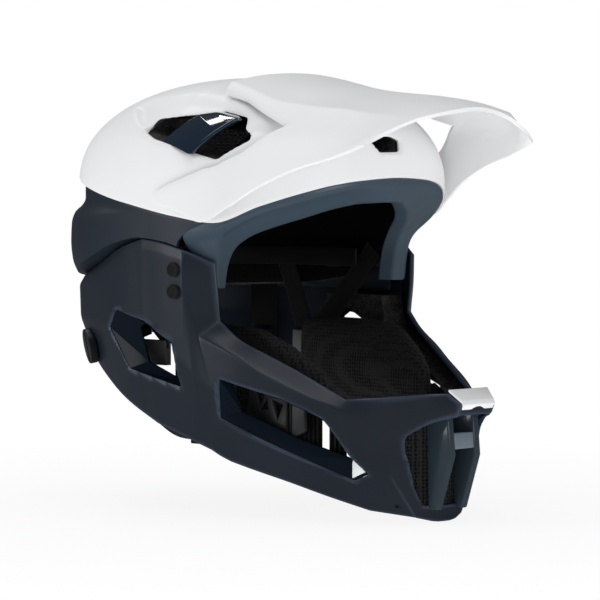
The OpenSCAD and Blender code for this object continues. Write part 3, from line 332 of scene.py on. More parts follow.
def plan_r(az, depth):
    """Reach of the master form in plan at a depth below its surface."""
    c, s = np.cos(np.radians(az)), np.sin(np.radians(az))
    a = HALF_W - depth
    b = np.where(c > 0, FRONT, REAR) - depth
    return (np.abs(s / a) ** PLAN_POWER + np.abs(c / b) ** PLAN_POWER) ** (-1 / PLAN_POWER)


def dome_share(z, depth):
    """Share of the plan's reach that is left at a height."""
    t = np.clip((z - DOME_BASE) / (DOME_RISE - depth), 0, 1)
    return np.maximum(1 - t ** DOME_POWER, 0) ** (1 / DOME_POWER)


# how deep the recess for the visor's tongue is, by the share of the plan's reach
RECESS_FADE = [(0, 0), (0.16, 0), (0.3, 1), (0.7, 1), (0.85, 0), (1, 0)]


def skin(az, z, depth):
    """Points of the master surface at a depth below it."""
    share = dome_share(z, depth)
    r = plan_r(az, depth) * share
    dent = TONGUE_RECESS * ramp(-fold(np.abs(az)), -90, -70) * table_curve(RECESS_FADE, share)
    rad = np.radians(az)
    return np.stack(np.broadcast_arrays(r * np.sin(rad), -r * np.cos(rad), z - dent), -1)


def within(p, depth):
    """Whether points lie inside the master surface at a depth below it."""
    across_share = np.abs(p[:, 0] / (HALF_W - depth))
    along_share = np.abs(p[:, 1] / (np.where(p[:, 1] < 0, FRONT, REAR) - depth))
    share = (across_share ** PLAN_POWER + along_share ** PLAN_POWER) ** (1 / PLAN_POWER)
    return share < dome_share(p[:, 2], depth)


def flow(rows, step, closed=False, creases=()):
    """Rows of points joined lengthwise by smooth curves, apart from at the creases."""
    p = np.asarray(rows, float)
    n = len(p)
    q = np.concatenate([p, p[:1]]) if closed else p
    h = np.maximum(np.linalg.norm(np.diff(q, axis=0), axis=-1).mean(axis=-1), 1e-3)
    chord = np.diff(q, axis=0) / h[:, None, None]
    out = []
    for i in range(len(h)):
        before = chord[i - 1] if i > 0 or closed else chord[i]
        h_before = h[i - 1] if i > 0 or closed else h[i]
        j = (i + 1) % len(h) if closed else min(i + 1, len(h) - 1)
        m0 = chord[i] if i in creases else (before * h[i] + chord[i] * h_before) / (h[i] + h_before)
        end = (i + 1) % n
        m1 = chord[i] if end in creases else (chord[i] * h[j] + chord[j] * h[i]) / (h[i] + h[j])
        count = max(1, int(round(h[i] / step)))
        out += [bend(t, q[i], q[i + 1], h[i] * m0, h[i] * m1) for t in np.arange(count) / count]
    if not closed:
        out.append(q[-1])
    return np.array(out)


def corner(enter, middle, leave, count):
    """Points round a corner, from where it starts up to but without where it ends."""
    return [
        (1 - t) ** 2 * enter + 2 * t * (1 - t) * middle + t * t * leave for t in np.arange(count) / count
    ]


def across(rows, radii, step):
    """Each row as straight runs, with its inner corners rounded to a radius."""
    p = np.asarray(rows, float)
    k = p.shape[1]
    length = np.linalg.norm(np.diff(p, axis=1), axis=-1)
    parts = []
    start = p[:, 0]
    for j in range(1, k):
        if j < k - 1:
            r = np.minimum(radii[j - 1], 0.48 * np.minimum(length[:, j - 1], length[:, j]))[:, None]
            enter = p[:, j] - unit(p[:, j] - p[:, j - 1]) * r
            leave = p[:, j] + unit(p[:, j + 1] - p[:, j]) * r
        else:
            enter = p[:, j]
        count = max(1, int(round(np.linalg.norm(enter - start, axis=-1).mean() / step)))
        for t in np.arange(count) / count:
            parts.append(mix(start, enter, t))
        if j < k - 1:
            parts += corner(enter, p[:, j], leave, max(3, int(round(2 * np.mean(r) / step))))
            start = leave
    parts.append(p[:, -1])
    return np.stack(parts, 1)


def grid_normals(g, ring=False):
    """Normals of a grid of points, whose rows may close into a ring."""
    if ring:
        du = np.roll(g, -1, 0) - np.roll(g, 1, 0)
    else:
        du = np.gradient(g, axis=0)
    dv = np.gradient(g, axis=1)
    return unit(np.cross(du, dv))


def outline_distance(points, outline):
    """Signed distance to a closed outline, negative inside it."""
    p = points.reshape(-1, 2)
    a = np.asarray(outline, float)
    b = np.roll(a, -1, 0)
    best = np.full(len(p), 1e9)
    inside = np.zeros(len(p), bool)
    for s, e in zip(a, b):
        d = e - s
        t = np.clip(((p - s) @ d) / max(d @ d, 1e-9), 0, 1)
        best = np.minimum(best, np.linalg.norm(p - s - t[:, None] * d, axis=1))
        cross = (s[1] > p[:, 1]) != (e[1] > p[:, 1])
        rise = e[1] - s[1] if abs(e[1] - s[1]) > 1e-9 else 1e-9
        inside ^= cross & (p[:, 0] < (e[0] - s[0]) * (p[:, 1] - s[1]) / rise + s[0])
    return np.where(inside, -best, best).reshape(points.shape[:-1])


def rolled_edge(g, normals, distance, radius):
    """The grid with the band next to an opening rolled inward."""
    inward = radius - np.clip(distance, 0, radius)
    drop = radius - np.sqrt(np.maximum(radius ** 2 - inward ** 2, 0))
    return g - normals * drop[..., None] * ROLL_SHARE


# meshes

# a distance to an opening that leaves a point as it is, and angles in degrees: above the first three
# an edge stays sharp, and below the fourth a solid's small facets are merged
CLEAR = 1e3
SMOOTH_ANGLE, FINE_ANGLE, BOX_ANGLE, FLAT_ANGLE = 40, 50, 60, 4


def rounded_loop(outer, inner, arc=3):
    """Closed cross sections: the outer run, a rolled edge, the inner run and a rolled edge."""
    def nose(a, b, beyond):
        """The rolled edge from one run's end to the other's."""
        c, half = (a + b) / 2, (a - b) / 2
        e = unit(beyond) * np.linalg.norm(half, axis=-1, keepdims=True) * ROLL_SHARE
        angles = [math.pi * (i + 1) / (arc + 1) for i in range(arc)]
        return [c + half * math.cos(t) + e * math.sin(t) for t in angles]

    high = nose(outer[:, -1], inner[:, -1], outer[:, -1] - outer[:, -2])
    low = nose(inner[:, 0], outer[:, 0], outer[:, 0] - outer[:, 1])
    run = [outer[:, j] for j in range(outer.shape[1])] + high
    run += [inner[:, j] for j in range(inner.shape[1] - 1, -1, -1)] + low
    return np.stack(run, 1)


def new_object(name, mesh):
    """An object in the scene that holds a mesh."""
    obj = bpy.data.objects.new(name, mesh)
    bpy.context.collection.objects.link(obj)
    return obj


def mesh_object(name, points, faces, sharp=SMOOTH_ANGLE, smooth=True):
    """A solid from points in millimetres and faces."""
    mesh = bpy.data.meshes.new(name)
    mesh.from_pydata((np.asarray(points, float) * 0.001).tolist(), [], faces)
    mesh.validate()
    obj = new_object(name, mesh)
    tidy_normals(obj, sharp, smooth)
    return obj


def tidy_normals(obj, sharp=SMOOTH_ANGLE, smooth=True):
    """Turns a solid's faces outwards and marks its edges above an angle as sharp."""
    mesh = obj.data
    bm = bmesh.new()
    bm.from_mesh(mesh)
    bmesh.ops.recalc_face_normals(bm, faces=bm.faces)
    if bm.calc_volume(signed=True) < 0:
        bmesh.ops.reverse_faces(bm, faces=bm.faces)
    bm.to_mesh(mesh)
    bm.free()
    mesh.polygons.foreach_set("use_smooth", [smooth] * len(mesh.polygons))
    mesh.set_sharp_from_angle(angle=math.radians(sharp))


def tube_faces(n, k, ring=False):
    """Faces round n closed cross sections of k points each."""
    faces = []
    for i in range(n if ring else n - 1):
        a, b = i * k, ((i + 1) % n) * k
        faces += [(a + j, a + (j + 1) % k, b + (j + 1) % k, b + j) for j in range(k)]
    return faces


def loop_object(name, loops, ring=False, sharp=SMOOTH_ANGLE):
    """A solid from closed cross sections, round a ring or with its two ends capped."""
    n, k = loops.shape[:2]
    faces = tube_faces(n, k, ring)
    if not ring:
        faces.append(tuple(range(k)))
        faces.append(tuple(range((n - 1) * k + k - 1, (n - 1) * k - 1, -1)))
    return mesh_object(name, loops.reshape(-1, 3), faces, sharp)


def strip_caps(name, outer, inner):
    """A panel with open ends, its end caps laid as strips so that they follow the curve."""
    loops = rounded_loop(outer, inner)
    n, k = loops.shape[:2]
    m = outer.shape[1]
    arc = (k - 2 * m) // 2
    faces = tube_faces(n, k)
    for base, turn in ((0, 1), ((n - 1) * k, -1)):
        low = [m + arc + (m - 1 - j) for j in range(m)]
        caps = [(j, low[j], low[j + 1], j + 1) for j in range(m - 1)]
        caps += [[m - 1 + i for i in range(arc + 2)], [(2 * m + arc - 1 + i) % k for i in range(arc + 2)]]
        faces += [tuple(base + i for i in cap)[::turn] for cap in caps]
    return mesh_object(name, loops.reshape(-1, 3), faces)


def dome_object(name, outer, inner, top_outer, top_inner):
    """A dome of closed rings with a rolled lower edge; each row runs from the edge up."""
    n = len(outer)
    low = rounded_loop(outer, inner)[:, -3:]
    run = np.concatenate([inner[:, ::-1], low, outer], 1)
    k = run.shape[1]
    points = np.concatenate([run.reshape(-1, 3), [top_inner], [top_outer]])
    faces = []
    for i in range(n):
        a, b = i * k, ((i + 1) % n) * k
        faces += [(a + j, a + j + 1, b + j + 1, b + j) for j in range(k - 1)]
        faces.append((n * k, a, b))
        faces.append((n * k + 1, b + k - 1, a + k - 1))
    return mesh_object(name, points, faces)


def evaluated(obj):
    """The object's mesh with its modifiers applied."""
    deps = bpy.context.evaluated_depsgraph_get()
    mesh = bpy.data.meshes.new_from_object(obj.evaluated_get(deps), depsgraph=deps)
    obj.modifiers.clear()
    obj.data = mesh
    return obj


def rounded_polygon(outline, radius, steps=4):
    """A closed outline with its corners rounded."""
    p = np.asarray(outline, float)
    before, after = np.roll(p, 1, 0), np.roll(p, -1, 0)
    out = []
    for a, c, b in zip(before, p, after):
        r = min(radius, 0.45 * np.linalg.norm(a - c), 0.45 * np.linalg.norm(b - c))
        enter, leave = c + unit(a - c) * r, c + unit(b - c) * r
        out += [*corner(enter, c, leave, steps), leave]
    return np.array(out)


def prism(outline, axis, low, high):
    """A cutter along one axis through an outline of the other two."""
    n = len(outline)
    column = "XYZ".index(axis)
    points = [np.insert(np.asarray(p, float), column, h) for h in (low, high) for p in outline]
    return points, loft_faces(n)


def loft_faces(n):
    """Faces of a solid between two outlines of n points each."""
    faces = [tuple(range(n)), tuple(range(2 * n - 1, n - 1, -1))]
    return faces + [(i, n + i, n + (i + 1) % n, (i + 1) % n) for i in range(n)]


def carve(obj, outline, axis, low, high, operation="DIFFERENCE"):
    """Takes a prism out of a solid, or with INTERSECT all that lies outside it."""
    tool = mesh_object("cutter", *prism(outline, axis, low, high), smooth=False)
    modifier = obj.modifiers.new("opening", "BOOLEAN")
    modifier.operation, modifier.solver, modifier.object = operation, "MANIFOLD", tool
    evaluated(obj)
    bpy.data.objects.remove(tool)


def cut(obj, cutters, sharp=SMOOTH_ANGLE):
    """Opens prisms in a solid. A cutter is (outline, axis, low, high)."""
    for cutter in cutters:
        carve(obj, *cutter)
    tidy_normals(obj, sharp)
    return obj


def mirror_outline(outline):
    """The same outline on the other side."""
    return np.asarray(outline)[::-1] * (-1, 1)


def mirrored(obj, name):
    """A copy of a solid on the other side."""
    mesh = obj.data.copy()
    mesh.transform(Matrix.Scale(-1, 4, (1, 0, 0)))
    mesh.flip_normals()
    return new_object(name, mesh)


def roll_edges(obj, radius, segments=2, sharp=35):
    """Rolls the edges above an angle to a radius in millimetres."""
    modifier = obj.modifiers.new("roll", "BEVEL")
    modifier.width, modifier.segments = radius * 0.001, segments
    modifier.limit_method, modifier.angle_limit = "ANGLE", math.radians(sharp)
    evaluated(obj)
    tidy_normals(obj, FINE_ANGLE)
    return obj


def softened(node, name, radius=0.5, segments=2, sharp=35):
    """A CAD node's form with its edges rolled, to stand for that node."""
    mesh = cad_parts[node].data.copy()
    mesh.materials.clear()
    bm = bmesh.new()
    bm.from_mesh(mesh)
    bmesh.ops.remove_doubles(bm, verts=bm.verts, dist=1e-6)
    bmesh.ops.dissolve_limit(bm, angle_limit=math.radians(FLAT_ANGLE), verts=bm.verts, edges=bm.edges)
    bm.to_mesh(mesh)
    bm.free()
    return roll_edges(new_object(name, mesh), radius, segments, sharp)


def dress(obj, finish, body, node):
    """Gives a piece its finish, body and material slot, and hides the CAD node that it stands for."""
    obj.data.materials.clear()
    obj.data.materials.append(FINISHES[finish])
    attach(obj, body)
    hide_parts(node)
    return obj


# finishes

class Flow:
    """A node's output that Python's own operators can work on."""

    def __init__(self, nodes, socket):
        self.nodes, self.socket = nodes, socket

    def math(self, operation, *values):
        """A Math node on values and numbers."""
        return self.nodes.node("ShaderNodeMath", {"operation": operation}, values)

    def __add__(self, other):
        return self.math("ADD", self, other)

    def __radd__(self, other):
        return self.math("ADD", other, self)

    def __sub__(self, other):
        return self.math("SUBTRACT", self, other)

    def __rsub__(self, other):
        return self.math("SUBTRACT", other, self)

    def __mul__(self, other):
        return self.math("MULTIPLY", self, other)

    def __rmul__(self, other):
        return self.math("MULTIPLY", other, self)

    def __truediv__(self, other):
        return self.math("DIVIDE", self, other)

    def __rtruediv__(self, other):
        return self.math("DIVIDE", other, self)

    def __gt__(self, other):
        return self.math("GREATER_THAN", self, other)

    def __abs__(self):
        return self.math("ABSOLUTE", self)

    def sin(self):
        """Sine of the value."""
        return self.math("SINE", self)

    def between(self, low, high, **ends):
        """0 below low and 1 above high, or the ends given, smooth in between."""
        values = {"Value": self, "From Min": low, "From Max": high}
        values.update({key.replace("_", " "): value for key, value in ends.items()})
        return self.nodes.node("ShaderNodeMapRange", {"interpolation_type": "SMOOTHSTEP"}, values)

    def length(self):
        """Length of the vector."""
        return self.nodes.node("ShaderNodeVectorMath", {"operation": "LENGTH"}, [self]).output("Value")

    def axis(self, name):
        """One component of the vector."""
        return self.nodes.node("ShaderNodeSeparateXYZ", {}, [self]).output(name)

    def output(self, name):
        """Another output of the same node."""
        return Flow(self.nodes, self.socket.node.outputs[name])


class Nodes:
    """A node tree that is built up node by node."""

    def __init__(self, tree):
        self.tree = tree

    def put(self, socket, value):
        """Links a value to a socket, or sets the socket to a constant."""
        if isinstance(value, Flow):
            self.tree.links.new(value.socket, socket)
        else:
            socket.default_value = value

    def node(self, kind, settings, values):
        """Adds a node with its settings, then the values or links of its sockets, by order or name."""
        made = self.tree.nodes.new(kind)
        for key, value in settings.items():
            setattr(made, key, value)
        for key, value in values.items() if isinstance(values, dict) else enumerate(values):
            self.put(made.inputs[key], value)
        return Flow(self, next((s for s in made.outputs if s.enabled), None))

    def tint(self, share, first, second):
        """A colour between two colours."""
        values = {0: share, 6: opaque(first), 7: opaque(second)}
        made = self.node("ShaderNodeMix", {"data_type": "RGBA"}, values)
        return Flow(self, made.socket.node.outputs[2])


def opaque(color):
    """A colour with full alpha, or a value as it is."""
    return color if isinstance(color, Flow) else (*tuple(color)[:3], 1.0)


def shade(color, factor):
    """A colour made lighter or darker."""
    return tuple(min(1.0, c * factor) for c in tuple(color)[:3])


class Finish(Nodes):
    """One material, made on the main shader."""

    def __init__(self, name, color, roughness, **constants):
        self.material = bpy.data.materials.new(name)
        self.material.use_nodes = True
        self.material.diffuse_color = opaque(color)
        super().__init__(self.material.node_tree)
        self.shader = self.tree.nodes["Principled BSDF"]
        self.set("Base Color", opaque(color))
        self.set("Roughness", roughness)
        for key, value in constants.items():
            self.set(key.replace("_", " "), value)

    def set(self, name, value):
        """Sets or links one socket of the shader."""
        self.put(self.shader.inputs[name], value)

    def place(self):
        """The point's place on the piece."""
        return self.node("ShaderNodeTexCoord", {}, []).output("Object")

    def lengthwise(self):
        """The point's place along and across a strap."""
        return self.node("ShaderNodeTexCoord", {}, []).output("UV")

    def noise(self, scale, detail=3.0):
        """Cloudy noise."""
        values = {"Vector": self.place(), "Scale": scale, "Detail": detail}
        return self.node("ShaderNodeTexNoise", {}, values)

    def cells(self, scale, feature="F1", randomness=1.0):
        """A pattern of cells."""
        values = {"Vector": self.place(), "Scale": scale, "Randomness": randomness}
        return self.node("ShaderNodeTexVoronoi", {"feature": feature}, values)

    def bump(self, height, distance, strength=1.0):
        """Raises the surface by a height map."""
        values = {"Height": height, "Distance": distance, "Strength": strength}
        self.set("Normal", self.node("ShaderNodeBump", {}, values))


def lacquer(name, color, roughness, grain=0.00006, coat=0.0, vary=0.05, shine=0.5):
    """Painted shell: a fine orange peel, faint dust and slightly uneven gloss."""
    f = Finish(name, color, roughness, Coat_Weight=coat, Coat_Roughness=0.08, Specular_IOR_Level=shine)
    peel = f.noise(900.0, 2.0)
    cloud = f.noise(14.0, 4.0)
    f.set("Base Color", f.tint(cloud.between(0.3, 0.7), shade(color, 1 - vary), shade(color, 1 + vary)))
    f.set("Roughness", roughness + (cloud - 0.5) * 0.08 + (peel - 0.5) * 0.06)
    f.bump(peel, grain, 0.5)
    return f.material


def moulded(name, color, roughness):
    """Moulded plastic with a fine even grain and worn highlights."""
    f = Finish(name, color, roughness, Specular_IOR_Level=0.35)
    grain = f.cells(2400.0)
    wear = f.noise(60.0, 5.0)
    f.set("Base Color", f.tint(wear.between(0.35, 0.75), shade(color, 0.9), shade(color, 1.15)))
    f.set("Roughness", roughness + (wear - 0.5) * 0.12)
    f.bump(grain, 0.00012, 0.5)
    return f.material


def matte_lacquer(name, color, roughness=0.36):
    """Soft matte lacquer with a very fine sparkle and a painted highlight that makes it lighter along its
    sharp edges.
    """
    f = Finish(name, color, roughness, Specular_IOR_Level=0.5)
    fine = f.noise(3200.0, 2.0)
    cloud = f.noise(22.0, 4.0)
    edge = f.node("ShaderNodeAttribute", {"attribute_name": "crease"}, []).output("Fac")
    base = f.tint(cloud.between(0.3, 0.7), shade(color, 0.93), shade(color, 1.07))
    speckled = f.tint(fine.between(0.62, 0.74) * 0.35, base, shade(color, 2.2))
    # painted highlight: the colour is made much lighter along sharp edges, where light catches them
    f.set("Base Color", f.tint(edge * 0.8, speckled, shade(color, 3.6)))
    f.set("Roughness", roughness + (cloud - 0.5) * 0.1 + (fine - 0.5) * 0.1)
    f.bump(fine, 0.00005, 0.5)
    return f.material


def bead_foam(name, bead_scale=420.0):
    """Pressed bead foam: packed beads, each a little lighter or darker, with pale specks."""
    f = Finish(name, (0.03, 0.029, 0.028), 0.85, Specular_IOR_Level=0.3)
    tone = f.cells(bead_scale).output("Color").axis("X")
    gap = f.cells(bead_scale, "DISTANCE_TO_EDGE")
    speck = f.noise(1400.0, 2.0)
    base = f.tint(tone, (0.014, 0.0135, 0.013), (0.05, 0.047, 0.044))
    f.set("Base Color", f.tint(speck.between(0.58, 0.72), base, (0.17, 0.155, 0.14)))
    f.set("Roughness", 0.7 + tone * 0.25)
    f.bump(gap.between(0.0, 0.12), 0.0006, 0.9)
    return f.material


def spacer_mesh(name, color):
    """Knitted spacer fabric: round holes on an even lattice, with yarn between them; the holes are painted
    darker as shade.
    """
    f = Finish(name, color, 0.8, Sheen_Weight=0.04, Sheen_Roughness=0.4, Specular_IOR_Level=0.3)
    hole = f.cells(430.0, "F1", 0.18)
    yarn = f.noise(2600.0, 3.0)
    knit = hole.between(0.25, 0.5)
    # painted shade in the holes, lighter on the yarn between them
    f.set("Base Color", f.tint(knit, shade(color, 0.35), shade(color, 2.6)))
    f.set("Roughness", 0.72 + yarn * 0.2)
    f.bump(knit + yarn * 0.25, 0.0011, 1.0)
    return f.material


def brushed_pile(name, color):
    """Black brushed cloth that lines the head space."""
    f = Finish(name, color, 0.95, Specular_IOR_Level=0.1)
    fibre = f.noise(1800.0, 6.0)
    nap = f.noise(90.0, 3.0)
    f.set("Base Color", f.tint(fibre.between(0.3, 0.7), shade(color, 0.5), shade(color, 1.65)))
    f.set("Roughness", 0.8 + nap * 0.15)
    f.bump(fibre + nap, 0.0008, 0.7)
    return f.material


def woven(name, color, pitch):
    """Strap webbing: raised ribs along it with a broken twill across, painted darker in the grooves as
    shade.
    """
    f = Finish(name, color, 0.62, Sheen_Weight=0.04, Sheen_Roughness=0.35, Specular_IOR_Level=0.3)
    uv = f.lengthwise()
    along, wide = uv.axis("X"), uv.axis("Y")
    rib = abs((wide * (pitch * math.pi)).sin())
    pick = abs((along * (pitch * math.pi) + (wide * (pitch * math.pi / 2)).sin() * 1.2).sin())
    height = rib * 0.6 + pick * 0.5
    fuzz = f.noise(3000.0, 3.0)
    # painted shade: darker where the weave is low, between the raised ribs
    f.set("Base Color", f.tint(height.between(0.2, 0.9), shade(color, 0.45), shade(color, 1.9)))
    f.set("Roughness", 0.55 + fuzz * 0.25)
    f.bump(height + fuzz * 0.2, 0.0004, 0.9)
    return f.material


def knurled(name, color, grooves=3600.0):
    """Rubber with a fine net of grooves in two directions, painted darker in the grooves as shade, with
    dust lighter at random.
    """
    f = Finish(name, color, 0.7, Specular_IOR_Level=0.35)
    at = f.place()
    y, z = at.axis("Y"), at.axis("Z")
    one = abs(((y + z) * grooves).sin())
    two = abs(((y - z) * grooves).sin())
    net = one.between(0.1, 0.6) * two.between(0.1, 0.6)
    dust = f.noise(700.0, 4.0)
    # painted shade in the grooves, with dust lighter at random
    f.set("Base Color", f.tint(net * 0.7 + dust * 0.3, shade(color, 0.5), shade(color, 2.0)))
    f.set("Roughness", 0.6 + dust * 0.3)
    f.bump(net, 0.0003, 0.8)
    return f.material


# the floor: its own tone and the darker one that gloss sees, how much light it sends back to pale
# surfaces above it, and how it fades into the white background between two distances in metres
FLOOR_TONE, FLOOR_IN_GLOSS = (0.9, 0.9, 0.9), (0.16, 0.17, 0.18)
FLOOR_GLOW, FLOOR_BOUNCE = 0.62, 0.8
FLOOR_FADE = (0.15, 0.6)
FLOOR_WHITE = {"To_Min": 0.88, "To_Max": 1.0}


def floor_finish(name):
    """Pale floor that keeps a soft shadow, is white far off and stays dark in the lacquer's gloss."""
    material = bpy.data.materials.new(name)
    material.use_nodes = True
    material.cycles.emission_sampling = "NONE"
    material.node_tree.nodes.clear()
    n = Nodes(material.node_tree)
    ray = n.node("ShaderNodeLightPath", {}, [])
    diffuse = ray.output("Is Diffuse Ray")
    tone = n.tint(ray.output("Is Glossy Ray"), FLOOR_TONE, FLOOR_IN_GLOSS)
    lit = n.node("ShaderNodeBsdfDiffuse", {}, {"Color": tone})
    white = n.node("ShaderNodeEmission", {}, {"Strength": diffuse * FLOOR_GLOW + 1.0})
    distance = n.node("ShaderNodeNewGeometry", {}, []).output("Position").length()
    share = ray.output("Is Camera Ray") * distance.between(*FLOOR_FADE, **FLOOR_WHITE)
    blend = n.node("ShaderNodeMixShader", {}, [share + diffuse * FLOOR_BOUNCE, lit, white])
    n.node("ShaderNodeOutputMaterial", {}, {"Surface": blend})
    return material


FINISHES = {}


def make_finishes(s):
    """Makes every finish, and dresses the CAD nodes that stay in sight."""
    FINISHES.update({
        "white": lacquer("satin_white_shell", s.white, 0.5, coat=0.06, vary=0.01),
        "peak": lacquer("satin_white_visor", s.white, 0.52, grain=0.00008, vary=0.01),
        "navy": lacquer("satin_navy_shell", s.navy, 0.38),
        "rim": lacquer("satin_blue_rim", s.rim_blue, 0.34, shine=0.7),
        "bar": matte_lacquer("matte_navy_bar", s.bar_navy),
        "gloss": lacquer("gloss_navy", (0.005, 0.015, 0.03), 0.08, grain=0.00001, coat=1.0, vary=0.03),
        "recess": lacquer(
            "gloss_dark_recess", (0.004, 0.0075, 0.013), 0.13, grain=0.00002, vary=0.03, shine=0.12,
        ),
        "slate": lacquer("slate_cross_piece", (0.14, 0.17, 0.2), 0.25, grain=0.00003, coat=0.3),
        # the grille's own blue black, made lighter as a painted reflection on the blades' sides
        "grille": lacquer("blue_grille_with_painted_reflection", (0.026, 0.038, 0.05), 0.2, grain=0.00003, coat=0.4),
        "pale": lacquer("pale_plate", (0.82, 0.825, 0.83), 0.25, coat=0.3, vary=0.02),
        "foam": bead_foam("bead_foam"),
        "mesh": spacer_mesh("spacer_mesh", (0.0065, 0.0062, 0.0066)),
        "pile": brushed_pile("brushed_pile", (0.003, 0.003, 0.0032)),
        "strap": woven("black_webbing", (0.005, 0.005, 0.0054), s.weave),
        "black": moulded("black_moulding", (0.005, 0.005, 0.0055), 0.4),
        "grey": moulded("grey_divider", (0.09, 0.094, 0.098), 0.4),
        "lattice": moulded("dark_grey_lattice", (0.024, 0.025, 0.027), 0.35),
        "dial": moulded("dial_black", (0.007, 0.009, 0.012), 0.28),
        "rubber": knurled("knurled_rubber", (0.011, 0.011, 0.012)),
    })
    for name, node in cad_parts.items():
        node.data.materials.clear()
        node.data.materials.append(FINISHES["foam" if name.startswith("bar_foam") else "black"])


# shells

SIDE_FROM, BROW_FROM = 30.0, 60.0
# cutters along the helmet start at this distance from the middle and end past the helmet
CUT_FROM, CUT_TO = 45.0, 200.0
VENT_CORNER, SMALL_CORNER = 2.5, 2.0
# how the dish fades in from its outline and from the vent's lower edge
DISH_EDGE, DISH_SILL = 5.5, 9.0
# the white shell's rings: its girth, its rise, and the last ring under the crown
GIRTH, RISE = 740.0, 150.0
LAST_RING, LAST_SHARE = 88.5, 0.9975


def panel_cell():
    cell = bpy.context.scene.helmet.cell
    return cell


def dished(g, normals, depth):
    """Lowers the shell into the dish round each upper vent."""
    inside = -outline_distance(g[..., 1:], DISH)
    sill = np.array(VENT_LOW)
    above = g[..., 2] - np.interp(-g[..., 1], -sill[:, 0], sill[:, 1])
    drop = depth * ramp(inside, 0, DISH_EDGE) * ramp(above, 0, DISH_SILL)
    drop = np.where(np.abs(g[..., 0]) > SIDE_FROM, drop, 0)
    return g - normals * drop[..., None]


def vent_rolled(g, normals, radius):
    """Rolls the shell inwards round the side vents and the brow vent."""
    side = outline_distance(g[..., 1:], side_outline(SIDE_VENT, FRONT, CROWN))
    side = np.where(np.abs(g[..., 0]) > SIDE_FROM, side, CLEAR)
    brow = outline_distance(g[..., [0, 2]], side_outline(FRONT_VENT, HALF_W, CROWN))
    brow = np.where(g[..., 1] < -BROW_FROM, brow, CLEAR)
    return rolled_edge(g, normals, np.minimum(side, brow), radius)


def shell_cuts():
    """Cutters of the side vents and the brow vent."""
    side = rounded_polygon(side_outline(SIDE_VENT, FRONT, CROWN), VENT_CORNER)
    brow = rounded_polygon(side_outline(FRONT_VENT, HALF_W, CROWN), SMALL_CORNER)
    return [(side, "X", -CUT_TO, CUT_TO), (brow, "Y", -CUT_TO, -CUT_FROM)]


def rear_cuts():
    """Cutters of the two slots at the back."""
    slot = rounded_polygon(side_outline(REAR_VENT, HALF_W, REAR_Z), VENT_CORNER)
    return [(slot, "Y", CUT_FROM, CUT_TO), (mirror_outline(slot), "Y", CUT_FROM, CUT_TO)]


def upper_points(depth, cell):
    """Points of the white shell at a depth, by angle and from its seam up."""
    n = int(round(GIRTH / cell / 4)) * 4
    az = np.arange(n) * 360 / n
    m = int(round(RISE / cell))
    t = np.sin(np.radians(LAST_RING) * np.arange(m + 1) / (m + 1)) * LAST_SHARE
    seam = line_z(az)[:, None]
    z = mix(seam, CROWN - depth, t[None, :])
    return skin(az[:, None], z, depth)


class HELMET_OT_upper_shell(bpy.types.Operator):
    """White upper shell with its dishes and vents"""

    bl_idname = "helmet.upper_shell"
    bl_label = "Upper shell"

    def execute(self, context):
        s = context.scene.helmet
        outer = upper_points(0, panel_cell())
        outer = dished(outer, grid_normals(outer, True), s.dish_depth)
        normals = grid_normals(outer, True)
        inner = outer - normals * SHELL_T
        outer = vent_rolled(outer, normals, s.edge_round)
        obj = dome_object("upper_shell_skin", outer, inner, (0, 0, CROWN), (0, 0, CROWN - SHELL_T))
        cut(obj, shell_cuts())
        dress(obj, "white", "helmet", "upper_shell")
        return {"FINISHED"}


# the navy shell: its length round the back, its height, the gap to its ends in degrees, the rows of
# its skirt, and where its wall starts over the bar and ends under the white shell's seam
LOWER_LENGTH, LOWER_HEIGHT, END_GAP = 500.0, 60.0, 0.5
SKIRT_ROWS = (0.5, 0.985)
WALL_START, WALL_END, LIP_RISE = 0.9, 2.0, 0.6
LOWER_T = SHELL_T - 0.2
# how the seam's swell over the occiput leaves room at its upper end
SWELL_ROOM, REAR_POWER = 3.6 * TUCK_H, 1.5


def bar_edge_z(az):
    """Height of the chin bar's top edge."""
    return BAR_TOP * table_curve(BAR_EDGE, fold(az))


def rear_share(az):
    """1 straight behind, down to 0 at the sides."""
    return np.maximum(0, -np.cos(np.radians(az))) ** REAR_POWER


def swell(az, z):
    """How far the navy shell stands out over the occiput."""
    low, high = 2 * SKIRT_BOTTOM, REAR_Z - SWELL_ROOM
    rise = table_curve(SWELL, np.clip((z - low) / (high - low), 0, 1))
    return rear_share(az) * (OCCIPUT_SWELL * rise - NAPE_DIP)


def lean(az, share):
    """Angles near the temples moved back by a share of the seam's lean."""
    f = fold(az)
    to = f + SEAM_LEAN * share * np.maximum(0, 1 - (f - SEAM_AZ) / LEAN_FADE)
    return np.where(np.mod(az, 360) > 180, 360 - to, to)


def lower_points(depth, cell):
    """Points of the navy shell at a depth, by angle and from its skirt inside the bar up."""
    ends = SEAM_AZ + END_GAP
    az = np.linspace(ends, 360 - ends, int(round(LOWER_LENGTH / cell)))
    seam = line_z(az)
    leant = lean(az, 1.0)
    edge = bar_edge_z(leant)
    inside = SKIRT_STEP + depth
    rows = [skin(leant, mix(SKIRT_BOTTOM, edge, t), inside) for t in (0, *SKIRT_ROWS)]
    for t in np.linspace(0, 1, int(round(LOWER_HEIGHT / cell))):
        z = mix(edge + WALL_START, seam - WALL_END, t)
        a = lean(az, 1 - t * t)
        rows.append(skin(a, z, FLUSH + depth - swell(a, z)))
    rows.append(skin(az, seam + LIP_RISE - depth / 2, TUCK + depth))
    rows.append(skin(az, seam + TUCK_H, TUCK + depth))
    return np.stack(rows, 1)


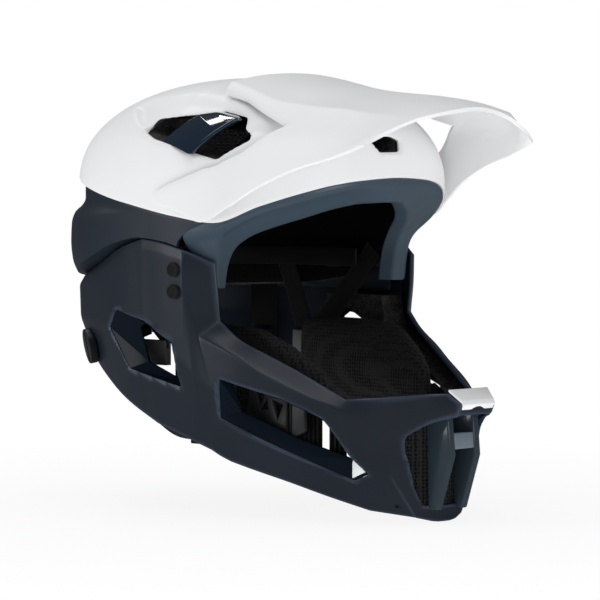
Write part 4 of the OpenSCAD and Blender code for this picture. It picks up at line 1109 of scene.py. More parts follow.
class HELMET_OT_lower_shell(bpy.types.Operator):
    """Navy lower shell from temple to temple round the back"""

    bl_idname = "helmet.lower_shell"
    bl_label = "Lower shell"

    def execute(self, context):
        cell = panel_cell()
        outer, inner = lower_points(0, cell), lower_points(LOWER_T, cell)
        slot = side_outline(REAR_VENT, HALF_W, REAR_Z)
        at = np.stack([np.abs(outer[..., 0]), outer[..., 2]], -1)
        distance = np.where(outer[..., 1] > CUT_FROM, outline_distance(at, slot), CLEAR)
        outer = rolled_edge(outer, grid_normals(outer), distance, context.scene.helmet.edge_round)
        obj = cut(strip_caps("lower_shell_skin", outer, inner), rear_cuts())
        dress(obj, "navy", "helmet", "lower_shell")
        return {"FINISHED"}


# the brow rim: its length, the gap to the seam above it, how its inner edge flares into the port,
# how its lower ends follow the bar, the radii of its bends, its mesh's cell as a share of the shells',
# the rows between its corner and the seam, and the share of the way to its wall where they end
RIM_LENGTH, RIM_GAP = 330.0, 1.4
FLARE_IN, FLARE_BACK = 2.0, 10.0
RIM_FOOT, RIM_PULL, PULL_AHEAD = 3.0, 6.5, 0.2
RIM_RADII = (2.2, 3.2, 5.0, 4.0, 4.0, 0.6, 0.6)
RIM_CELLS = 0.7
RIM_ROWS = (0.4, 0.75)
CORNER_END = 0.9


def rim_columns(cell):
    """Rows of the brow rim from inside the port over its corner to the lip under the white shell."""
    az = np.linspace(-SEAM_AZ, SEAM_AZ, int(round(RIM_LENGTH / cell)))
    f, side = np.abs(az), np.sign(az)
    none = np.zeros_like(f)

    def edge(table):
        """An edge of the rim from its table."""
        x, y, z = (table_curve(table, f, k) for k in (1, 2, 3))
        return np.stack([side * HALF_W * x, FRONT * y, np.maximum(RIM_END, PORT_TOP * z)], -1)

    back = np.interp(f, [r[0] for r in FLANK], [r[1] for r in FLANK])
    seam = line_z(f)
    foot = float(bar_edge_z(np.array([FLANK_AZ]))[0]) + RIM_FOOT
    low_z = mix(seam - TUCK_H + 1, foot, back)

    def wall(t):
        """A row of the rim's outer face, from its lower edge to the seam."""
        return skin(side * (f + SEAM_LEAN * back * (1 - t * t)), mix(low_z, seam - RIM_GAP, t), FLUSH)

    port, corner_row = edge(PORT), edge(CORNER)
    flare = np.stack([-side * FLARE_IN * np.sin(np.radians(f)), none + FLARE_BACK, none], -1)
    pull = np.stack([side, none - PULL_AHEAD, none], -1) * (RIM_PULL * back)[:, None]
    rows = [port + flare, port, corner_row, mix(corner_row, wall(0), CORNER_END) - pull]
    rows += [wall(t) for t in (*RIM_ROWS, 1)]
    rows += [skin(az, seam - RIM_GAP / 4, TUCK), skin(az, seam + TUCK_H, TUCK)]
    return np.stack(rows, 1)


class HELMET_OT_brow_rim(bpy.types.Operator):
    """Blue brow rim over the eye port"""

    bl_idname = "helmet.brow_rim"
    bl_label = "Brow rim"

    def execute(self, context):
        cell = panel_cell()
        outer = across(rim_columns(cell), RIM_RADII, cell * RIM_CELLS)
        inner = outer - grid_normals(outer) * RIM_T
        obj = strip_caps("brow_rim_skin", outer, inner)
        dress(obj, "rim", "helmet", "brow_rim")
        return {"FINISHED"}


# the bridge across the right upper vent: its ends as shares of the shell, its bow and drop, its half
# width at both ends, its section, and how far its ends stay inside the vent
BRIDGE_TOP, BRIDGE_FOOT = (-0.67, -0.361, 0.869), (-0.943, -0.151, 0.669)
BRIDGE_BOW, BRIDGE_DROP = 3.0, 2.5
BRIDGE_HALF = (13.2, 17.5)
BRIDGE_SECTION = [(-1, 0), (-1, 3.0), (-0.82, 5.0), (0.82, 5.0), (1, 3.0), (1, 0)]
BRIDGE_CORNER, BRIDGE_STEPS, BRIDGE_FIT = 1.1, 33, 0.985


class HELMET_OT_roll_bars(bpy.types.Operator):
    """Glossy bridges across the upper vents"""

    bl_idname = "helmet.roll_bars"
    bl_label = "Roll bars"

    def execute(self, context):
        top, foot = place(BRIDGE_TOP, SHELL_SIZE), place(BRIDGE_FOOT, SHELL_SIZE)
        run = unit(foot - top)
        width = unit(np.array([0, 1, 0]) - run * run[1])
        normal = np.cross(run, width)
        loops = []
        for t in np.linspace(0, 1, BRIDGE_STEPS):
            sink = BRIDGE_BOW * math.sin(math.pi * t) + BRIDGE_DROP * t * t
            middle = mix(top, foot, t) - normal * sink
            half = mix(*BRIDGE_HALF, t)
            section = rounded_polygon([(a * half, b) for a, b in BRIDGE_SECTION], BRIDGE_CORNER, 3)
            loops.append([middle + width * a + normal * b for a, b in section])
        right = loop_object("roll_bar_skin_right", np.array(loops), sharp=BOX_ANGLE)
        vent = side_outline(SIDE_VENT, FRONT, CROWN)
        fitted = mix(vent.mean(0), vent, BRIDGE_FIT)
        carve(right, fitted, "X", -CUT_TO, 0, "INTERSECT")
        tidy_normals(right, FINE_ANGLE)
        left = mirrored(right, "roll_bar_skin_left")
        for obj, side in ((right, "right"), (left, "left")):
            dress(obj, "gloss", "helmet", "roll_bar_" + side)
        return {"FINISHED"}


# the foam liner: its rings and rows, the room over it at the crown, and the angle that ends its thin
# front, with the depths of its lower part and the height over which it comes up to the white shell
LINER_RINGS, LINER_ROWS = 144, 40
CROWN_ROOM = 0.7
FRONT_END, FRONT_STEP, SKIRT_ROOM, BAR_ROOM = 72.5, 5.5, 3.7, 14.0
SEAM_ROOM, SEAM_BLEND = 2.0, 16.0
PILE_DEPTH = 3.0


def liner_depth(a, z):
    """Depth of the liner's outer face below the master form."""
    high = SHELL_T + FOAM_GAP
    low = 2 * high + NAPE_DIP * rear_share(a)
    over = z - line_z(a) - TUCK_H - SEAM_ROOM
    behind = np.where(z > bar_edge_z(a) + BAR_ROOM, low, SKIRT_STEP + SKIRT_ROOM)
    below = np.where(fold(a) <= FRONT_END, low + FRONT_STEP, behind)
    return np.where(over > 0, mix(low, high, np.clip(over / SEAM_BLEND, 0, 1)), below)


def liner_points(top, inside):
    """Points of the liner's inner or outer face, by angle and from its lower edge up."""
    az = np.arange(LINER_RINGS) * 360 / LINER_RINGS
    foot = PORT_TOP * table_curve(FOAM_EDGE, fold(az))[:, None]
    t = np.sin(np.radians(90) * np.arange(LINER_ROWS) / (LINER_ROWS + 1))
    z = mix(foot, top, t[None, :])
    a = np.broadcast_to(az[:, None], z.shape)
    return skin(a, z, FOAM_T if inside else liner_depth(a, z))


class HELMET_OT_liner(bpy.types.Operator):
    """Bead foam liner under the shells, lined with black cloth"""

    bl_idname = "helmet.liner"
    bl_label = "Foam liner"

    def execute(self, context):
        top, ceiling = CROWN - SHELL_T - FOAM_GAP - CROWN_ROOM, CROWN - FOAM_T
        outer, inner = liner_points(top, False), liner_points(ceiling, True)
        obj = dome_object("foam_liner_body", outer, inner, (0, 0, top), (0, 0, ceiling))
        cut(obj, shell_cuts() + rear_cuts(), FINE_ANGLE)
        dress(obj, "foam", "helmet", "foam_liner")
        obj.data.materials.append(FINISHES["pile"])
        centres = np.empty(len(obj.data.polygons) * 3)
        obj.data.polygons.foreach_get("center", centres)
        lined = within(centres.reshape(-1, 3) * 1000, FOAM_T - PILE_DEPTH)
        obj.data.polygons.foreach_set("material_index", lined.astype(int))
        return {"FINISHED"}


# visor

VISOR_RADII = (14, 2.4, 2.0, 22, 40, 22, 2.0, 2.4, 14)
NOTCH_ROLL, NOTCH_CORNER, NOTCH_REACH = 1.3, 2.0, 300


def visor_grid(cell):
    """Points of the visor's upper face, from edge to edge and from crown to tip."""
    half = place(VISOR_ROWS, VISOR_SIZE)
    full = np.concatenate([half[:, :0:-1] * (-1, 1, 1), half], 1)
    return across(flow(full, cell), VISOR_RADII, cell)


class HELMET_OT_visor(bpy.types.Operator):
    """White visor in one moulding"""

    bl_idname = "helmet.visor"
    bl_label = "Visor"

    def execute(self, context):
        outer = visor_grid(panel_cell())
        normals = grid_normals(outer)
        inner = outer - normals * VISOR_T
        notch = side_outline(VISOR_NOTCH, VISOR_W, VISOR_FRONT)
        at = np.stack([np.abs(outer[..., 0]), outer[..., 1]], -1)
        outer = rolled_edge(outer, normals, outline_distance(at, notch), NOTCH_ROLL)
        obj = strip_caps("visor_skin", outer, inner)
        soft = rounded_polygon(notch, NOTCH_CORNER)
        cut(obj, [(side, "Z", 0, NOTCH_REACH) for side in (soft, mirror_outline(soft))])
        dress(obj, "peak", "visor_body", "visor")
        return {"FINISHED"}


class HELMET_OT_visor_channel(bpy.types.Operator):
    """Ribs moulded under the peak"""

    bl_idname = "helmet.visor_channel"
    bl_label = "Visor channel"

    def execute(self, context):
        ribs = softened("visor_channel", "visor_channel_rib", 0.6)
        dress(ribs, "peak", "visor_body", "visor_channel")
        return {"FINISHED"}


# chin bar

# the radii of the bar's bends, its mesh's cell as a share of the shells', the angle that keeps a
# facet's edge sharp, the angles between which an edge gets its painted highlight, how far from
# the middle the recesses start, where the mouth's cutter starts, the corners of both and where
# that cutter ends
BAR_RADII = (1.5, 3.2)
BAR_CELLS = 0.8
FACET_ANGLE = 16
EDGE_HIGHLIGHT_ANGLES = (13, 45)
RECESS_FROM = 25.0
MOUTH_FROM = 0.68 * BAR_FRONT
RECESS_CORNER, MOUTH_CORNER = 2.0, 3.0
CHIN_END = 250.0


def bar_grid(cell):
    """Points of the chin bar's outer face, round the helmet and from its inner top edge down."""
    half = place(BAR_STATIONS, BAR_SIZE)
    ring = np.concatenate([half, half[-2:0:-1] * (-1, 1, 1)])
    last = len(half) - 1
    creases = {*BAR_CREASES, *(2 * last - k for k in BAR_CREASES)}
    return across(flow(ring, cell, True, creases), BAR_RADII, cell * BAR_CELLS)


def mark_creases(obj):
    """Stores how sharp the edges at each vertex are, for the painted highlight along the lacquer's edges.
    """
    bm = bmesh.new()
    bm.from_mesh(obj.data)
    angles = [max((e.calc_face_angle(0.0) for e in v.link_edges), default=0.0) for v in bm.verts]
    bm.free()
    low, high = EDGE_HIGHLIGHT_ANGLES
    layer = obj.data.attributes.new("crease", "FLOAT", "POINT")
    layer.data.foreach_set("value", np.clip((np.degrees(angles) - low) / (high - low), 0, 1))


class HELMET_OT_chin_bar(bpy.types.Operator):
    """Faceted chin bar with its recesses and mouth opening"""

    bl_idname = "helmet.chin_bar"
    bl_label = "Chin bar"

    def execute(self, context):
        outer = bar_grid(panel_cell())
        normals = grid_normals(outer, True)
        if normals[0, :, 1].mean() < 0:
            normals = -normals
        inner = outer - normals * BAR_T
        recesses = [side_outline(r, BAR_FRONT, CHIN_DEPTH) for r in (BAR_RECESS, LONG_RECESS)]
        mouth = side_outline(MOUTH, BAR_W, CHIN_DEPTH)
        flank = np.minimum(*[outline_distance(outer[..., 1:], r) for r in recesses])
        flank = np.where(np.abs(outer[..., 0]) > RECESS_FROM, flank, CLEAR)
        chin = outline_distance(outer[..., [0, 2]], mouth)
        chin = np.where(outer[..., 1] < -MOUTH_FROM, chin, CLEAR)
        rolled = rolled_edge(outer, normals, np.minimum(flank, chin), context.scene.helmet.edge_round)
        obj = loop_object("chin_bar_skin", rounded_loop(rolled, inner), ring=True, sharp=FACET_ANGLE)
        cuts = [(rounded_polygon(r, RECESS_CORNER), "X", -CUT_TO, CUT_TO) for r in recesses]
        cuts.append((rounded_polygon(mouth, MOUTH_CORNER), "Y", -CHIN_END, -MOUTH_FROM))
        cut(obj, cuts, FACET_ANGLE)
        # stores where the painted highlight goes along the bar's sharp edges
        mark_creases(obj)
        dress(obj, "bar", "chin_bar_body", "chin_bar")
        return {"FINISHED"}


# chin bar trim

# edges above these angles in degrees are rolled, on the slabs and on the chin plate
SLAB_ANGLE, PLATE_ANGLE = 25, 20

# the mouth grille, in millimetres: the blades' outline from the side and their sides, the cross
# piece's outline and half width, and the net that bows across the opening behind them
BLADE = [(-176.5, -62), (-179.2, -91), (-167.5, -125.5), (-160.2, -125.5), (-158.2, -66)]
BLADE_INNER, BLADE_OUTER = 8.6, 14.2
CROSS = [(-177.6, -76.5), (-178.6, -86.6), (-173.5, -87.4), (-172.5, -77)]
CROSS_HALF = 8.9
NET_HALF, NET_COLUMNS, NET_BOW, NET_T = 31.0, 15, 0.013, 1.2
NET_Y, NET_TOP, NET_FOOT = -161.0, -66.0, -124.0

# the chin plate: its thickness, its front's share of its width, its edges' roll, and the section of
# the lip as millimetres behind its front, millimetres over its foot and share of the front's width
PLATE_T, PLATE_TAPER, PLATE_ROLL = 1.6, 0.806, 0.4
LIP = [(0, PLATE_T, 1), (-1.5, -1.2, 1), (0.4, -4.6, 0.96), (1.8, -4.2, 0.96), (0.4, -0.6, 1)]

# the slats behind the long vents: their two runs, their size and slope, and by reach in front of
# the middle the bar's wall, their tops and their feet
RIB_RUNS = ((-88, -108.5), (-113.5, -121.5))
RIB_PITCH, RIB_WIDTH, RIB_DEPTH, RIB_SLOPE, RIB_INSET = 2.6, 1.7, 1.6, 0.7, 6.5
BACKING_INSET, BACKING_T, BACKING_STEPS = 7.6, 0.8, 9
RIB_WALL = [(-50, 84), (-67, 83), (-91, 74), (-113, 62), (-134, 49), (-152, 35)]
RIB_TOP = [(-57, -42), (-96, -56), (-132, -72)]
RIB_FOOT = [(-57, -68), (-96, -84), (-132, -104)]


def slab(name, outline, x0, x1, radius):
    """A plate across the helmet's width from an outline seen from the side, its edges rolled."""
    plate = mesh_object(name, *prism(outline, "X", x0, x1), smooth=False)
    return roll_edges(plate, radius, sharp=SLAB_ANGLE)


def grille_parts():
    """Two deep blades, the cross piece between them and the dark net behind, with their finishes."""
    right = slab("grille_blade_right", BLADE, -BLADE_OUTER, -BLADE_INNER, 1.0)
    left = mirrored(right, "grille_blade_left")
    columns = []
    for x in np.linspace(-NET_HALF, NET_HALF, NET_COLUMNS):
        front = NET_Y + NET_BOW * x * x
        back = front + NET_T
        columns.append([
            (x, front, NET_FOOT), (x, front, NET_TOP), (x, back, NET_TOP), (x, back, NET_FOOT),
        ])
    net = loop_object("mouth_net", np.array(columns), sharp=BOX_ANGLE)
    cross = slab("grille_cross", CROSS, -CROSS_HALF, CROSS_HALF, 0.9)
    return (right, "grille"), (left, "grille"), (cross, "slate"), (net, "mesh")


def lipped_plate():
    """The pale plate on the chin, its front edge folded down over the ridge."""
    low, high = (np.array(point) * 1000 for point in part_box("chin_plate"))
    front, foot = low[1:]
    half, rear, top = high
    lip = [(half * PLATE_TAPER * share, front + y, foot + z) for y, z, share in LIP]
    shape = [(half, rear, top), *lip, (half, rear, top - PLATE_T)]
    points = [(side * x, y, z) for side in (-1, 1) for x, y, z in shape]
    obj = mesh_object("chin_plate_pale", points, loft_faces(len(shape)), smooth=False)
    return roll_edges(obj, PLATE_ROLL, sharp=PLATE_ANGLE)


def by_reach(table, y):
    """A table's value at a place in front of the middle."""
    return float(np.interp(-y, [-p[0] for p in table], [p[1] for p in table]))


def vent_ribs():
    """Upright slats behind the long vents, side by side on a thin backing."""
    made = []
    for back, front in RIB_RUNS:
        for y in np.arange(back, front, -RIB_PITCH):
            x, ahead = by_reach(RIB_WALL, y) - RIB_INSET, y - RIB_WIDTH
            top, foot = by_reach(RIB_TOP, y), by_reach(RIB_FOOT, y)
            outline = [(y, top), (ahead, top - RIB_SLOPE), (ahead, foot - RIB_SLOPE), (y, foot)]
            made.append(slab("rib", outline, x - RIB_DEPTH, x, 0.3))
        loops = []
        for y in np.linspace(back, front, BACKING_STEPS):
            x = by_reach(RIB_WALL, y) - BACKING_INSET
            top, foot = by_reach(RIB_TOP, y), by_reach(RIB_FOOT, y)
            loops.append([(x, y, foot), (x, y, top), (x - BACKING_T, y, top), (x - BACKING_T, y, foot)])
        made.append(loop_object("backing", np.array(loops), sharp=BOX_ANGLE))
    made += [mirrored(part, part.name + "_far") for part in list(made)]
    return joined("lattice_ribs", made)


def joined(name, objects):
    """One plain mesh of several objects, which are removed."""
    bm = bmesh.new()
    for obj in objects:
        bm.from_mesh(obj.data)
        bpy.data.objects.remove(obj)
    mesh = bpy.data.meshes.new(name)
    bm.to_mesh(mesh)
    bm.free()
    return new_object(name, mesh)


class HELMET_OT_chin_trim(bpy.types.Operator):
    """Recess funnels, mouth grille, lattices, plate and tips of the chin bar"""

    bl_idname = "helmet.chin_trim"
    bl_label = "Chin bar trim"

    def execute(self, context):
        body = "chin_bar_body"
        for side in ("left", "right"):
            node = "vent_surround_" + side
            dress(softened(node, "vent_funnel_" + side, 0.5, 3, 12), "recess", body, node)
        dress(softened("vent_tips", "vent_tip_pair", 0.25), "pale", body, "vent_tips")
        dress(softened("vent_lattices", "lattice_bars", 0.4), "lattice", body, "vent_lattices")
        dress(vent_ribs(), "black", body, "vent_lattices")
        dress(lipped_plate(), "pale", body, "chin_plate")
        for part, finish in grille_parts():
            dress(part, finish, body, "mouth_grille")
        return {"FINISHED"}


# temple caps

# a cap's radius, how deep its face is sunk and its section from the rear to the face as radius and
# height, in millimetres; the way the face looks; and the sizes in metres of the small dots on it
CAP_R, CAP_SINK = 4.6, 0.3
CAP_SECTION = [
    (0.001, -2.0), (CAP_R, -2.0), (CAP_R, -0.5), (CAP_R - 0.35, 0.0), (CAP_R - 1.0, 0.0),
    (CAP_R - 1.1, -CAP_SINK), (0.001, -CAP_SINK),
]
CAP_AXIS = (-1, -0.02, 0.02)
CAP_DOTS = {"Disc radius": 0.0034, "Pitch": 0.00085, "Dot size": 0.00032}


def dots_group(name, sizes, material):
    """Node group that lays small cones on a round patch, and the identifiers of its sizes."""
    group = bpy.data.node_groups.new(name, "GeometryNodeTree")
    face = group.interface
    face.new_socket("Geometry", in_out="INPUT", socket_type="NodeSocketGeometry")
    inputs = {}
    for label, value in sizes.items():
        socket = face.new_socket(label, in_out="INPUT", socket_type="NodeSocketFloat")
        socket.default_value = value
        inputs[label] = socket.identifier
    face.new_socket("Geometry", in_out="OUTPUT", socket_type="NodeSocketGeometry")
    n = Nodes(group)
    start = n.node("NodeGroupInput", {}, [])
    radius, pitch, size = (start.output(label) for label in sizes)
    width = radius * 2.0
    count = width / pitch + 1.0
    grid = n.node("GeometryNodeMeshGrid", {}, [width, width, count, count])
    beyond = n.node("GeometryNodeInputPosition", {}, []).length() > radius
    patch = n.node("GeometryNodeDeleteGeometry", {"domain": "POINT"}, [grid, beyond])
    cone_sizes = {"Vertices": 6, "Radius Bottom": size, "Radius Top": size * 0.45, "Depth": size * 0.9}
    cone = n.node("GeometryNodeMeshCone", {}, cone_sizes)
    laid = n.node("GeometryNodeInstanceOnPoints", {}, {"Points": patch, "Instance": cone})
    real = n.node("GeometryNodeRealizeInstances", {}, [laid])
    painted = n.node("GeometryNodeSetMaterial", {}, {"Geometry": real, "Material": material})
    n.node("NodeGroupOutput", {}, [painted])
    return group, inputs


def grown(name, group, values):
    """A plain mesh grown by a node group, with its named inputs set first."""
    obj = new_object(name, bpy.data.meshes.new(name + "_seed"))
    modifier = obj.modifiers.new("grow", "NODES")
    modifier.node_group = group
    for key, value in values.items():
        modifier[key] = value
    obj.update_tag()
    return evaluated(obj)


def turned(section, segments=48):
    """Points and faces of a form turned about Z from (radius, height) pairs, closed on the axis."""
    k = len(section)
    points, faces = [], []
    for i in range(segments):
        a, b = i * k, ((i + 1) % segments) * k
        angle = 2 * math.pi * i / segments
        points += [(r * math.cos(angle), r * math.sin(angle), z) for r, z in section]
        faces += [(a + j, b + j, b + j + 1, a + j + 1) for j in range(k - 1)]
    faces.append(tuple(i * k for i in range(segments))[::-1])
    faces.append(tuple(i * k + k - 1 for i in range(segments)))
    return points, faces


def along_axis(origin, axis):
    """A matrix that puts a form at a place, its Z along an axis."""
    z = Vector(axis).normalized()
    x = Vector((0, 0, 1)).cross(z).normalized()
    m = Matrix((x, z.cross(x), z)).transposed().to_4x4()
    m.translation = Vector(origin)
    return m


class HELMET_OT_caps(bpy.types.Operator):
    """Round knurled caps in the temples of the chin bar"""

    bl_idname = "helmet.caps"
    bl_label = "Temple caps"

    def execute(self, context):
        low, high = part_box("temple_caps")
        group, inputs = dots_group("cap_dots", CAP_DOTS, FINISHES["rubber"])
        parts = []
        for z in (high[2] - CAP_R / 1000, low[2] + CAP_R / 1000):
            seat = along_axis((-high[0], (low[1] + high[1]) / 2, z), CAP_AXIS)
            cap = mesh_object("cap", *turned(CAP_SECTION))
            dots = grown("dots", group, {inputs[label]: value for label, value in CAP_DOTS.items()})
            dots.data.transform(Matrix.Translation((0, 0, -CAP_SINK / 1000)))
            for part in (cap, dots):
                part.data.transform(seat)
                parts.append(part)
        right = joined("temple_caps_right", parts)
        for obj in (right, mirrored(right, "temple_caps_left")):
            dress(obj, "rubber", "chin_bar_body", "temple_caps")
        return {"FINISHED"}


# hardware

# small pieces that keep their CAD form: node, finish, body, material slot and the roll of their edges
HARDWARE = (
    ("release_dial_left", "dial", "release_left", "trim_black", 0.7),
    ("release_dial_right", "dial", "release_right", "trim_black", 0.7),
    ("fit_band", "black", "cradle", "trim_black", 0.5),
    ("fit_housing", "black", "cradle", "trim_black", 1.4),
    ("fit_dial", "rubber", "dial", "cap_rubber", 0.4),
    ("strap_divider_left", "grey", "helmet", "divider_grey", 1.2),
    ("strap_divider_right", "grey", "helmet", "divider_grey", 1.2),
    ("buckle_socket", "black", "helmet", "trim_black", 0.9),
    ("buckle_tongue", "black", "buckle", "trim_black", 0.6),
    ("band_guides", "black", "helmet", "trim_black", 0.8),
    ("latch_plates", "black", "helmet", "trim_black", 0.4),
    ("rear_grille", "black", "helmet", "trim_black", 0.5),
    ("visor_pivots", "black", "visor_body", "trim_black", 0.2),
    ("strap_anchors", "black", "helmet", "trim_black", 0.15),
)


class HELMET_OT_hardware(bpy.types.Operator):
    """Release dials, fit cradle, dividers, buckle and small fittings"""

    bl_idname = "helmet.hardware"
    bl_label = "Hardware"

    def execute(self, context):
        for node, finish, body, slot, radius in HARDWARE:
            dress(softened(node, node + "_part", radius), finish, body, node)
        return {"FINISHED"}


# pads

# node, piece, body and how full the pad is
PADS = (
    ("cheek_pad_left", "cheek_cushion_left", "chin_bar_body", 0.7),
    ("cheek_pad_right", "cheek_cushion_right", "chin_bar_body", 0.7),
    ("crown_pad_front", "crown_cushion_front", "helmet", 0.5),
    ("crown_pad_rear", "crown_cushion_rear", "helmet", 0.5),
    ("brow_pad", "brow_cushion", "helmet", 0.5),
)
SWELL_FRAMES, CLOTH_QUALITY, EASE_STEPS = 20, 5, 4


def vertex_places(obj):
    """An object's vertices in metres."""
    places = np.empty(len(obj.data.vertices) * 3)
    obj.data.vertices.foreach_get("co", places)
    return places.reshape(-1, 3)


def inflate(obj, pressure, cap):
    """Swells a pad as cloth under pressure, by no more than a cap."""
    start = vertex_places(obj)
    cloth = obj.modifiers.new("swell", "CLOTH")
    cloth.settings.use_pressure = True
    cloth.settings.uniform_pressure_force = pressure
    cloth.settings.effector_weights.gravity = 0
    cloth.settings.quality = CLOTH_QUALITY
    cloth.point_cache.frame_start, cloth.point_cache.frame_end = 1, SWELL_FRAMES
    for frame_number in range(1, SWELL_FRAMES + 1):
        bpy.context.scene.frame_set(frame_number)
    evaluated(obj)
    bpy.context.scene.frame_set(1)
    move = vertex_places(obj) - start
    length = np.linalg.norm(move, axis=1, keepdims=True)
    end = start + move * np.minimum(1, cap / np.maximum(length, 1e-9))
    obj.data.vertices.foreach_set("co", end.ravel())


def swollen(node, name):
    """A pad: its solid, voxel remeshed, swollen by cloth under pressure and smoothed."""
    s = bpy.context.scene.helmet
    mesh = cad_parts[node].data.copy()
    mesh.materials.clear()
    obj = new_object(name, mesh)
    remesh = obj.modifiers.new("voxels", "REMESH")
    remesh.mode, remesh.voxel_size = "VOXEL", s.pad_voxel
    ease = obj.modifiers.new("ease", "SMOOTH")
    ease.factor, ease.iterations = 0.5, EASE_STEPS
    evaluated(obj)
    inflate(obj, s.pad_pressure, s.pad_cap)
    finer = obj.modifiers.new("finer", "SUBSURF")
    finer.levels = finer.render_levels = 1
    evaluated(obj)
    tidy_normals(obj, 180)
    return obj


class HELMET_OT_pads(bpy.types.Operator):
    """Cheek, crown and brow pads in spacer mesh"""

    bl_idname = "helmet.pads"
    bl_label = "Pads"

    def execute(self, context):
        for node, name, body, fill in PADS:
            dress(swollen(node, name), "mesh", body, node)
        return {"FINISHED"}


# straps

# webbing in millimetres, and its section as shares of its width and thickness
WEB_W, WEB_T, WEB_STEP, WEB_SHARP = 15.0, 1.6, 2.0, 70
WEB_SECTION = [
    (-0.5, 0), (-0.47, 0.5), (-0.35, 0.62), (0.35, 0.62), (0.47, 0.5), (0.5, 0), (0.47, -0.5),
    (0.35, -0.62), (-0.35, -0.62), (-0.47, -0.5),
]
# where the left straps run, as shares of the shell: divider, anchors and the chin strap's route
DIVIDER, FRONT_ANCHOR, REAR_ANCHOR = (0.693, 0.234, -0.221), (0.736, -0.202, 0.221), (0.665, 0.406, 0.152)
CHIN_ROUTE = [
    (0.682, 0.25, -0.279), (0.67, 0.266, -0.386), (0.594, 0.281, -0.49), (0.462, 0.289, -0.569),
    (0.33, 0.297, -0.617), (0.217, 0.297, -0.634),
]
# how far a leg bows outwards, where the legs leave the divider, and the way each strap's width lies
LEG_BOW, LEG_STEPS = 1.0, 7
FRONT_EXIT, REAR_EXIT = (0, -7, 9.5), (0, 7, 9.5)
FRONT_LIE, REAR_LIE, CHIN_LIE = (0, 0.8, 0.6), (0, 0.96, -0.28), (0, 1, 0)


def web(name, path, lie):
    """A strap laid along a path, with rounded selvedges and lengthwise UVs."""
    rows = flow(np.asarray(path, float)[:, None, :], WEB_STEP)[:, 0]
    tangent = unit(np.gradient(rows, axis=0))
    lie = np.asarray(lie, float)
    side = unit(lie - tangent * (tangent @ lie)[:, None])
    normal = np.cross(tangent, side)
    loops = np.stack([rows + side * a * WEB_W + normal * b * WEB_T for a, b in WEB_SECTION], 1)
    obj = loop_object(name, loops, sharp=WEB_SHARP)
    steps = np.linalg.norm(np.diff(rows, axis=0), axis=1)
    length = np.concatenate([[0], np.cumsum(steps)]) * 0.001
    spread = np.array([(a + 0.5) * WEB_W * 0.001 for a, b in WEB_SECTION])
    index = np.empty(len(obj.data.loops), int)
    obj.data.loops.foreach_get("vertex_index", index)
    k = len(WEB_SECTION)
    values = np.stack([length[index // k], spread[index % k]], 1)
    obj.data.uv_layers.new(name="strap").data.foreach_set("uv", values.ravel())
    return obj


def leg(anchor, end):
    """A strap's route from its anchor to the divider, bowed a little outwards."""
    shares = np.linspace(0, 1, LEG_STEPS)
    return [mix(anchor, end, t) + np.array([LEG_BOW * math.sin(math.pi * t), 0, 0]) for t in shares]


class HELMET_OT_straps(bpy.types.Operator):
    """Woven straps from the anchors to the buckle"""

    bl_idname = "helmet.straps"
    bl_label = "Straps"

    def execute(self, context):
        divider, front, rear = place([DIVIDER, FRONT_ANCHOR, REAR_ANCHOR], SHELL_SIZE)
        chin = place(CHIN_ROUTE, SHELL_SIZE)
        for side, sign in (("left", 1), ("right", -1)):
            legs = joined("webbing_" + side, [
                web("front_leg", leg(front, divider + FRONT_EXIT), FRONT_LIE),
                web("rear_leg", leg(rear, divider + REAR_EXIT), REAR_LIE),
            ])
            legs.data.transform(Matrix.Scale(sign, 4, (1, 0, 0)))
            low = web("chin_webbing_" + side, chin * (sign, 1, 1), CHIN_LIE)
            for obj, node in ((legs, "strap_" + side), (low, "chin_strap")):
                tidy_normals(obj, WEB_SHARP)
                dress(obj, "strap", "helmet", node)
        return {"FINISHED"}


# stage

# the photograph's camera: degrees to the side and up, what it looks at, its distance and its lens
CAMERA_TURN, CAMERA_RISE = 45, 3
CAMERA_TARGET, CAMERA_REACH = (0.0162, -0.0162, 0), 3.0
SENSOR, LENS = 36, 275.4
# the floor's half side, and how far it lies under the construction so that no rolled edge dips into it
FLOOR_HALF, FLOOR_DROP = 12.0, 0.001
# the room's own light, and how much more of it pale surfaces get
ROOM_TONE, ROOM_LIGHT, ROOM_GLOW = (0.95, 0.97, 1.0), 0.06, 0.28
# soft lamps: name, place and side in metres, and watts
LAMP_AIM = (0, 0, 0.02)
LAMPS = (
    ("top_softbox", (-0.15, -0.1, 1.7), 1.6, 13.5),
    ("front_fill", (-0.2, -2.3, 0.1), 0.8, 6.5),
    ("side_fill", (-1.75, 0.95, 0.42), 0.75, 6),
    ("rear_rim", (-0.9, 1.6, 1.1), 0.8, 3.5),
    ("bridge_light", (0.4, 1.0, 1.35), 0.4, 3.0),
)


def add_camera(scene):
    """The camera at the photograph's viewing angle."""
    turn, rise = math.radians(CAMERA_TURN), math.radians(CAMERA_RISE)
    right = Vector((math.cos(turn), -math.sin(turn), 0))
    back = Vector((-math.sin(turn) * math.cos(rise), -math.cos(turn) * math.cos(rise), math.sin(rise)))
    camera = bpy.data.cameras.new("camera")
    camera.sensor_width, camera.lens, camera.clip_end = SENSOR, LENS, 100
    obj = bpy.data.objects.new("camera", camera)
    scene.collection.objects.link(obj)
    m = Matrix((right, back.cross(right), back)).transposed().to_4x4()
    m.translation = Vector(CAMERA_TARGET) + back * CAMERA_REACH
    obj.matrix_world = m
    scene.camera = obj


def add_floor(scene):
    """The pale floor under the helmet."""
    mesh = bpy.data.meshes.new("floor")
    d, z = FLOOR_HALF, CAD_BOX[0][2] - FLOOR_DROP
    mesh.from_pydata([(-d, -d, z), (d, -d, z), (d, d, z), (-d, d, z)], [], [(0, 1, 2, 3)])
    mesh.materials.append(floor_finish("pale_floor"))
    floor = bpy.data.objects.new("floor", mesh)
    scene.collection.objects.link(floor)


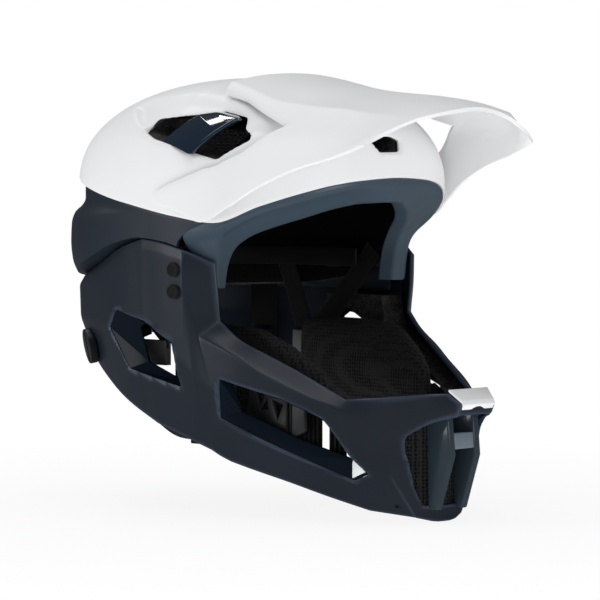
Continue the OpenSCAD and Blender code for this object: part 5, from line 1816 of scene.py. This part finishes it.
def add_lamps(scene):
    """The soft lamps, all turned to the helmet."""
    for name, at, side, watts in LAMPS:
        light = bpy.data.lights.new(name, "AREA")
        light.shape, light.size, light.energy = "SQUARE", side, watts
        lamp = bpy.data.objects.new(name, light)
        scene.collection.objects.link(lamp)
        lamp.location = at
        lamp.rotation_euler = (Vector(LAMP_AIM) - Vector(at)).to_track_quat("-Z", "Y").to_euler()


def add_room(scene):
    """A dim room that the camera sees as plain white."""
    scene.world = bpy.data.worlds.new("studio")
    scene.world.use_nodes = True
    scene.world.node_tree.nodes.clear()
    n = Nodes(scene.world.node_tree)
    ray = n.node("ShaderNodeLightPath", {}, [])
    strength = ray.output("Is Diffuse Ray") * ROOM_GLOW + ROOM_LIGHT
    room = n.node("ShaderNodeBackground", {}, {"Color": opaque(ROOM_TONE), "Strength": strength})
    white = n.node("ShaderNodeBackground", {}, {"Color": (1.0, 1.0, 1.0, 1.0), "Strength": 1.0})
    seen = n.node("ShaderNodeMixShader", {}, [ray.output("Is Camera Ray"), room, white])
    n.node("ShaderNodeOutputWorld", {}, {"Surface": seen})


class HELMET_OT_stage(bpy.types.Operator):
    """Camera, soft lights and the pale floor"""

    bl_idname = "helmet.stage"
    bl_label = "Stage"

    def execute(self, context):
        scene = context.scene
        scene.view_settings.view_transform = "Standard"
        add_camera(scene)
        add_floor(scene)
        add_lamps(scene)
        add_room(scene)
        return {"FINISHED"}


class HELMET_PT_panel(bpy.types.Panel):
    """Sidebar panel with the builder's sizes and steps"""

    bl_label = "Helmet"
    bl_idname = "HELMET_PT_panel"
    bl_space_type = "VIEW_3D"
    bl_region_type = "UI"
    bl_category = "Helmet"

    def draw(self, context):
        for name in HelmetSettings.__annotations__:
            self.layout.prop(context.scene.helmet, name)
        for step in STEPS:
            self.layout.operator(step.bl_idname)


STEPS = (
    HELMET_OT_stage, HELMET_OT_upper_shell, HELMET_OT_lower_shell, HELMET_OT_brow_rim, HELMET_OT_roll_bars,
    HELMET_OT_liner, HELMET_OT_visor, HELMET_OT_visor_channel, HELMET_OT_chin_bar, HELMET_OT_chin_trim,
    HELMET_OT_caps, HELMET_OT_hardware, HELMET_OT_straps, HELMET_OT_pads,
)
CLASSES = (HelmetSettings, *STEPS, HELMET_PT_panel)


def register():
    """Registers the settings, the steps and the panel."""
    for cls in CLASSES:
        bpy.utils.register_class(cls)
    bpy.types.Scene.helmet = bpy.props.PointerProperty(type=HelmetSettings)


def unregister():
    """Takes the settings, the steps and the panel out again."""
    del bpy.types.Scene.helmet
    for cls in reversed(CLASSES):
        bpy.utils.unregister_class(cls)


def main():
    """Builds the whole helmet."""
    register()
    make_finishes(bpy.context.scene.helmet)
    for step in STEPS:
        group, name = step.bl_idname.split(".")
        result = getattr(getattr(bpy.ops, group), name)()
        if result != {"FINISHED"}:
            raise RuntimeError(step.bl_label + " did not finish")


if __name__ == "__main__":
    main()
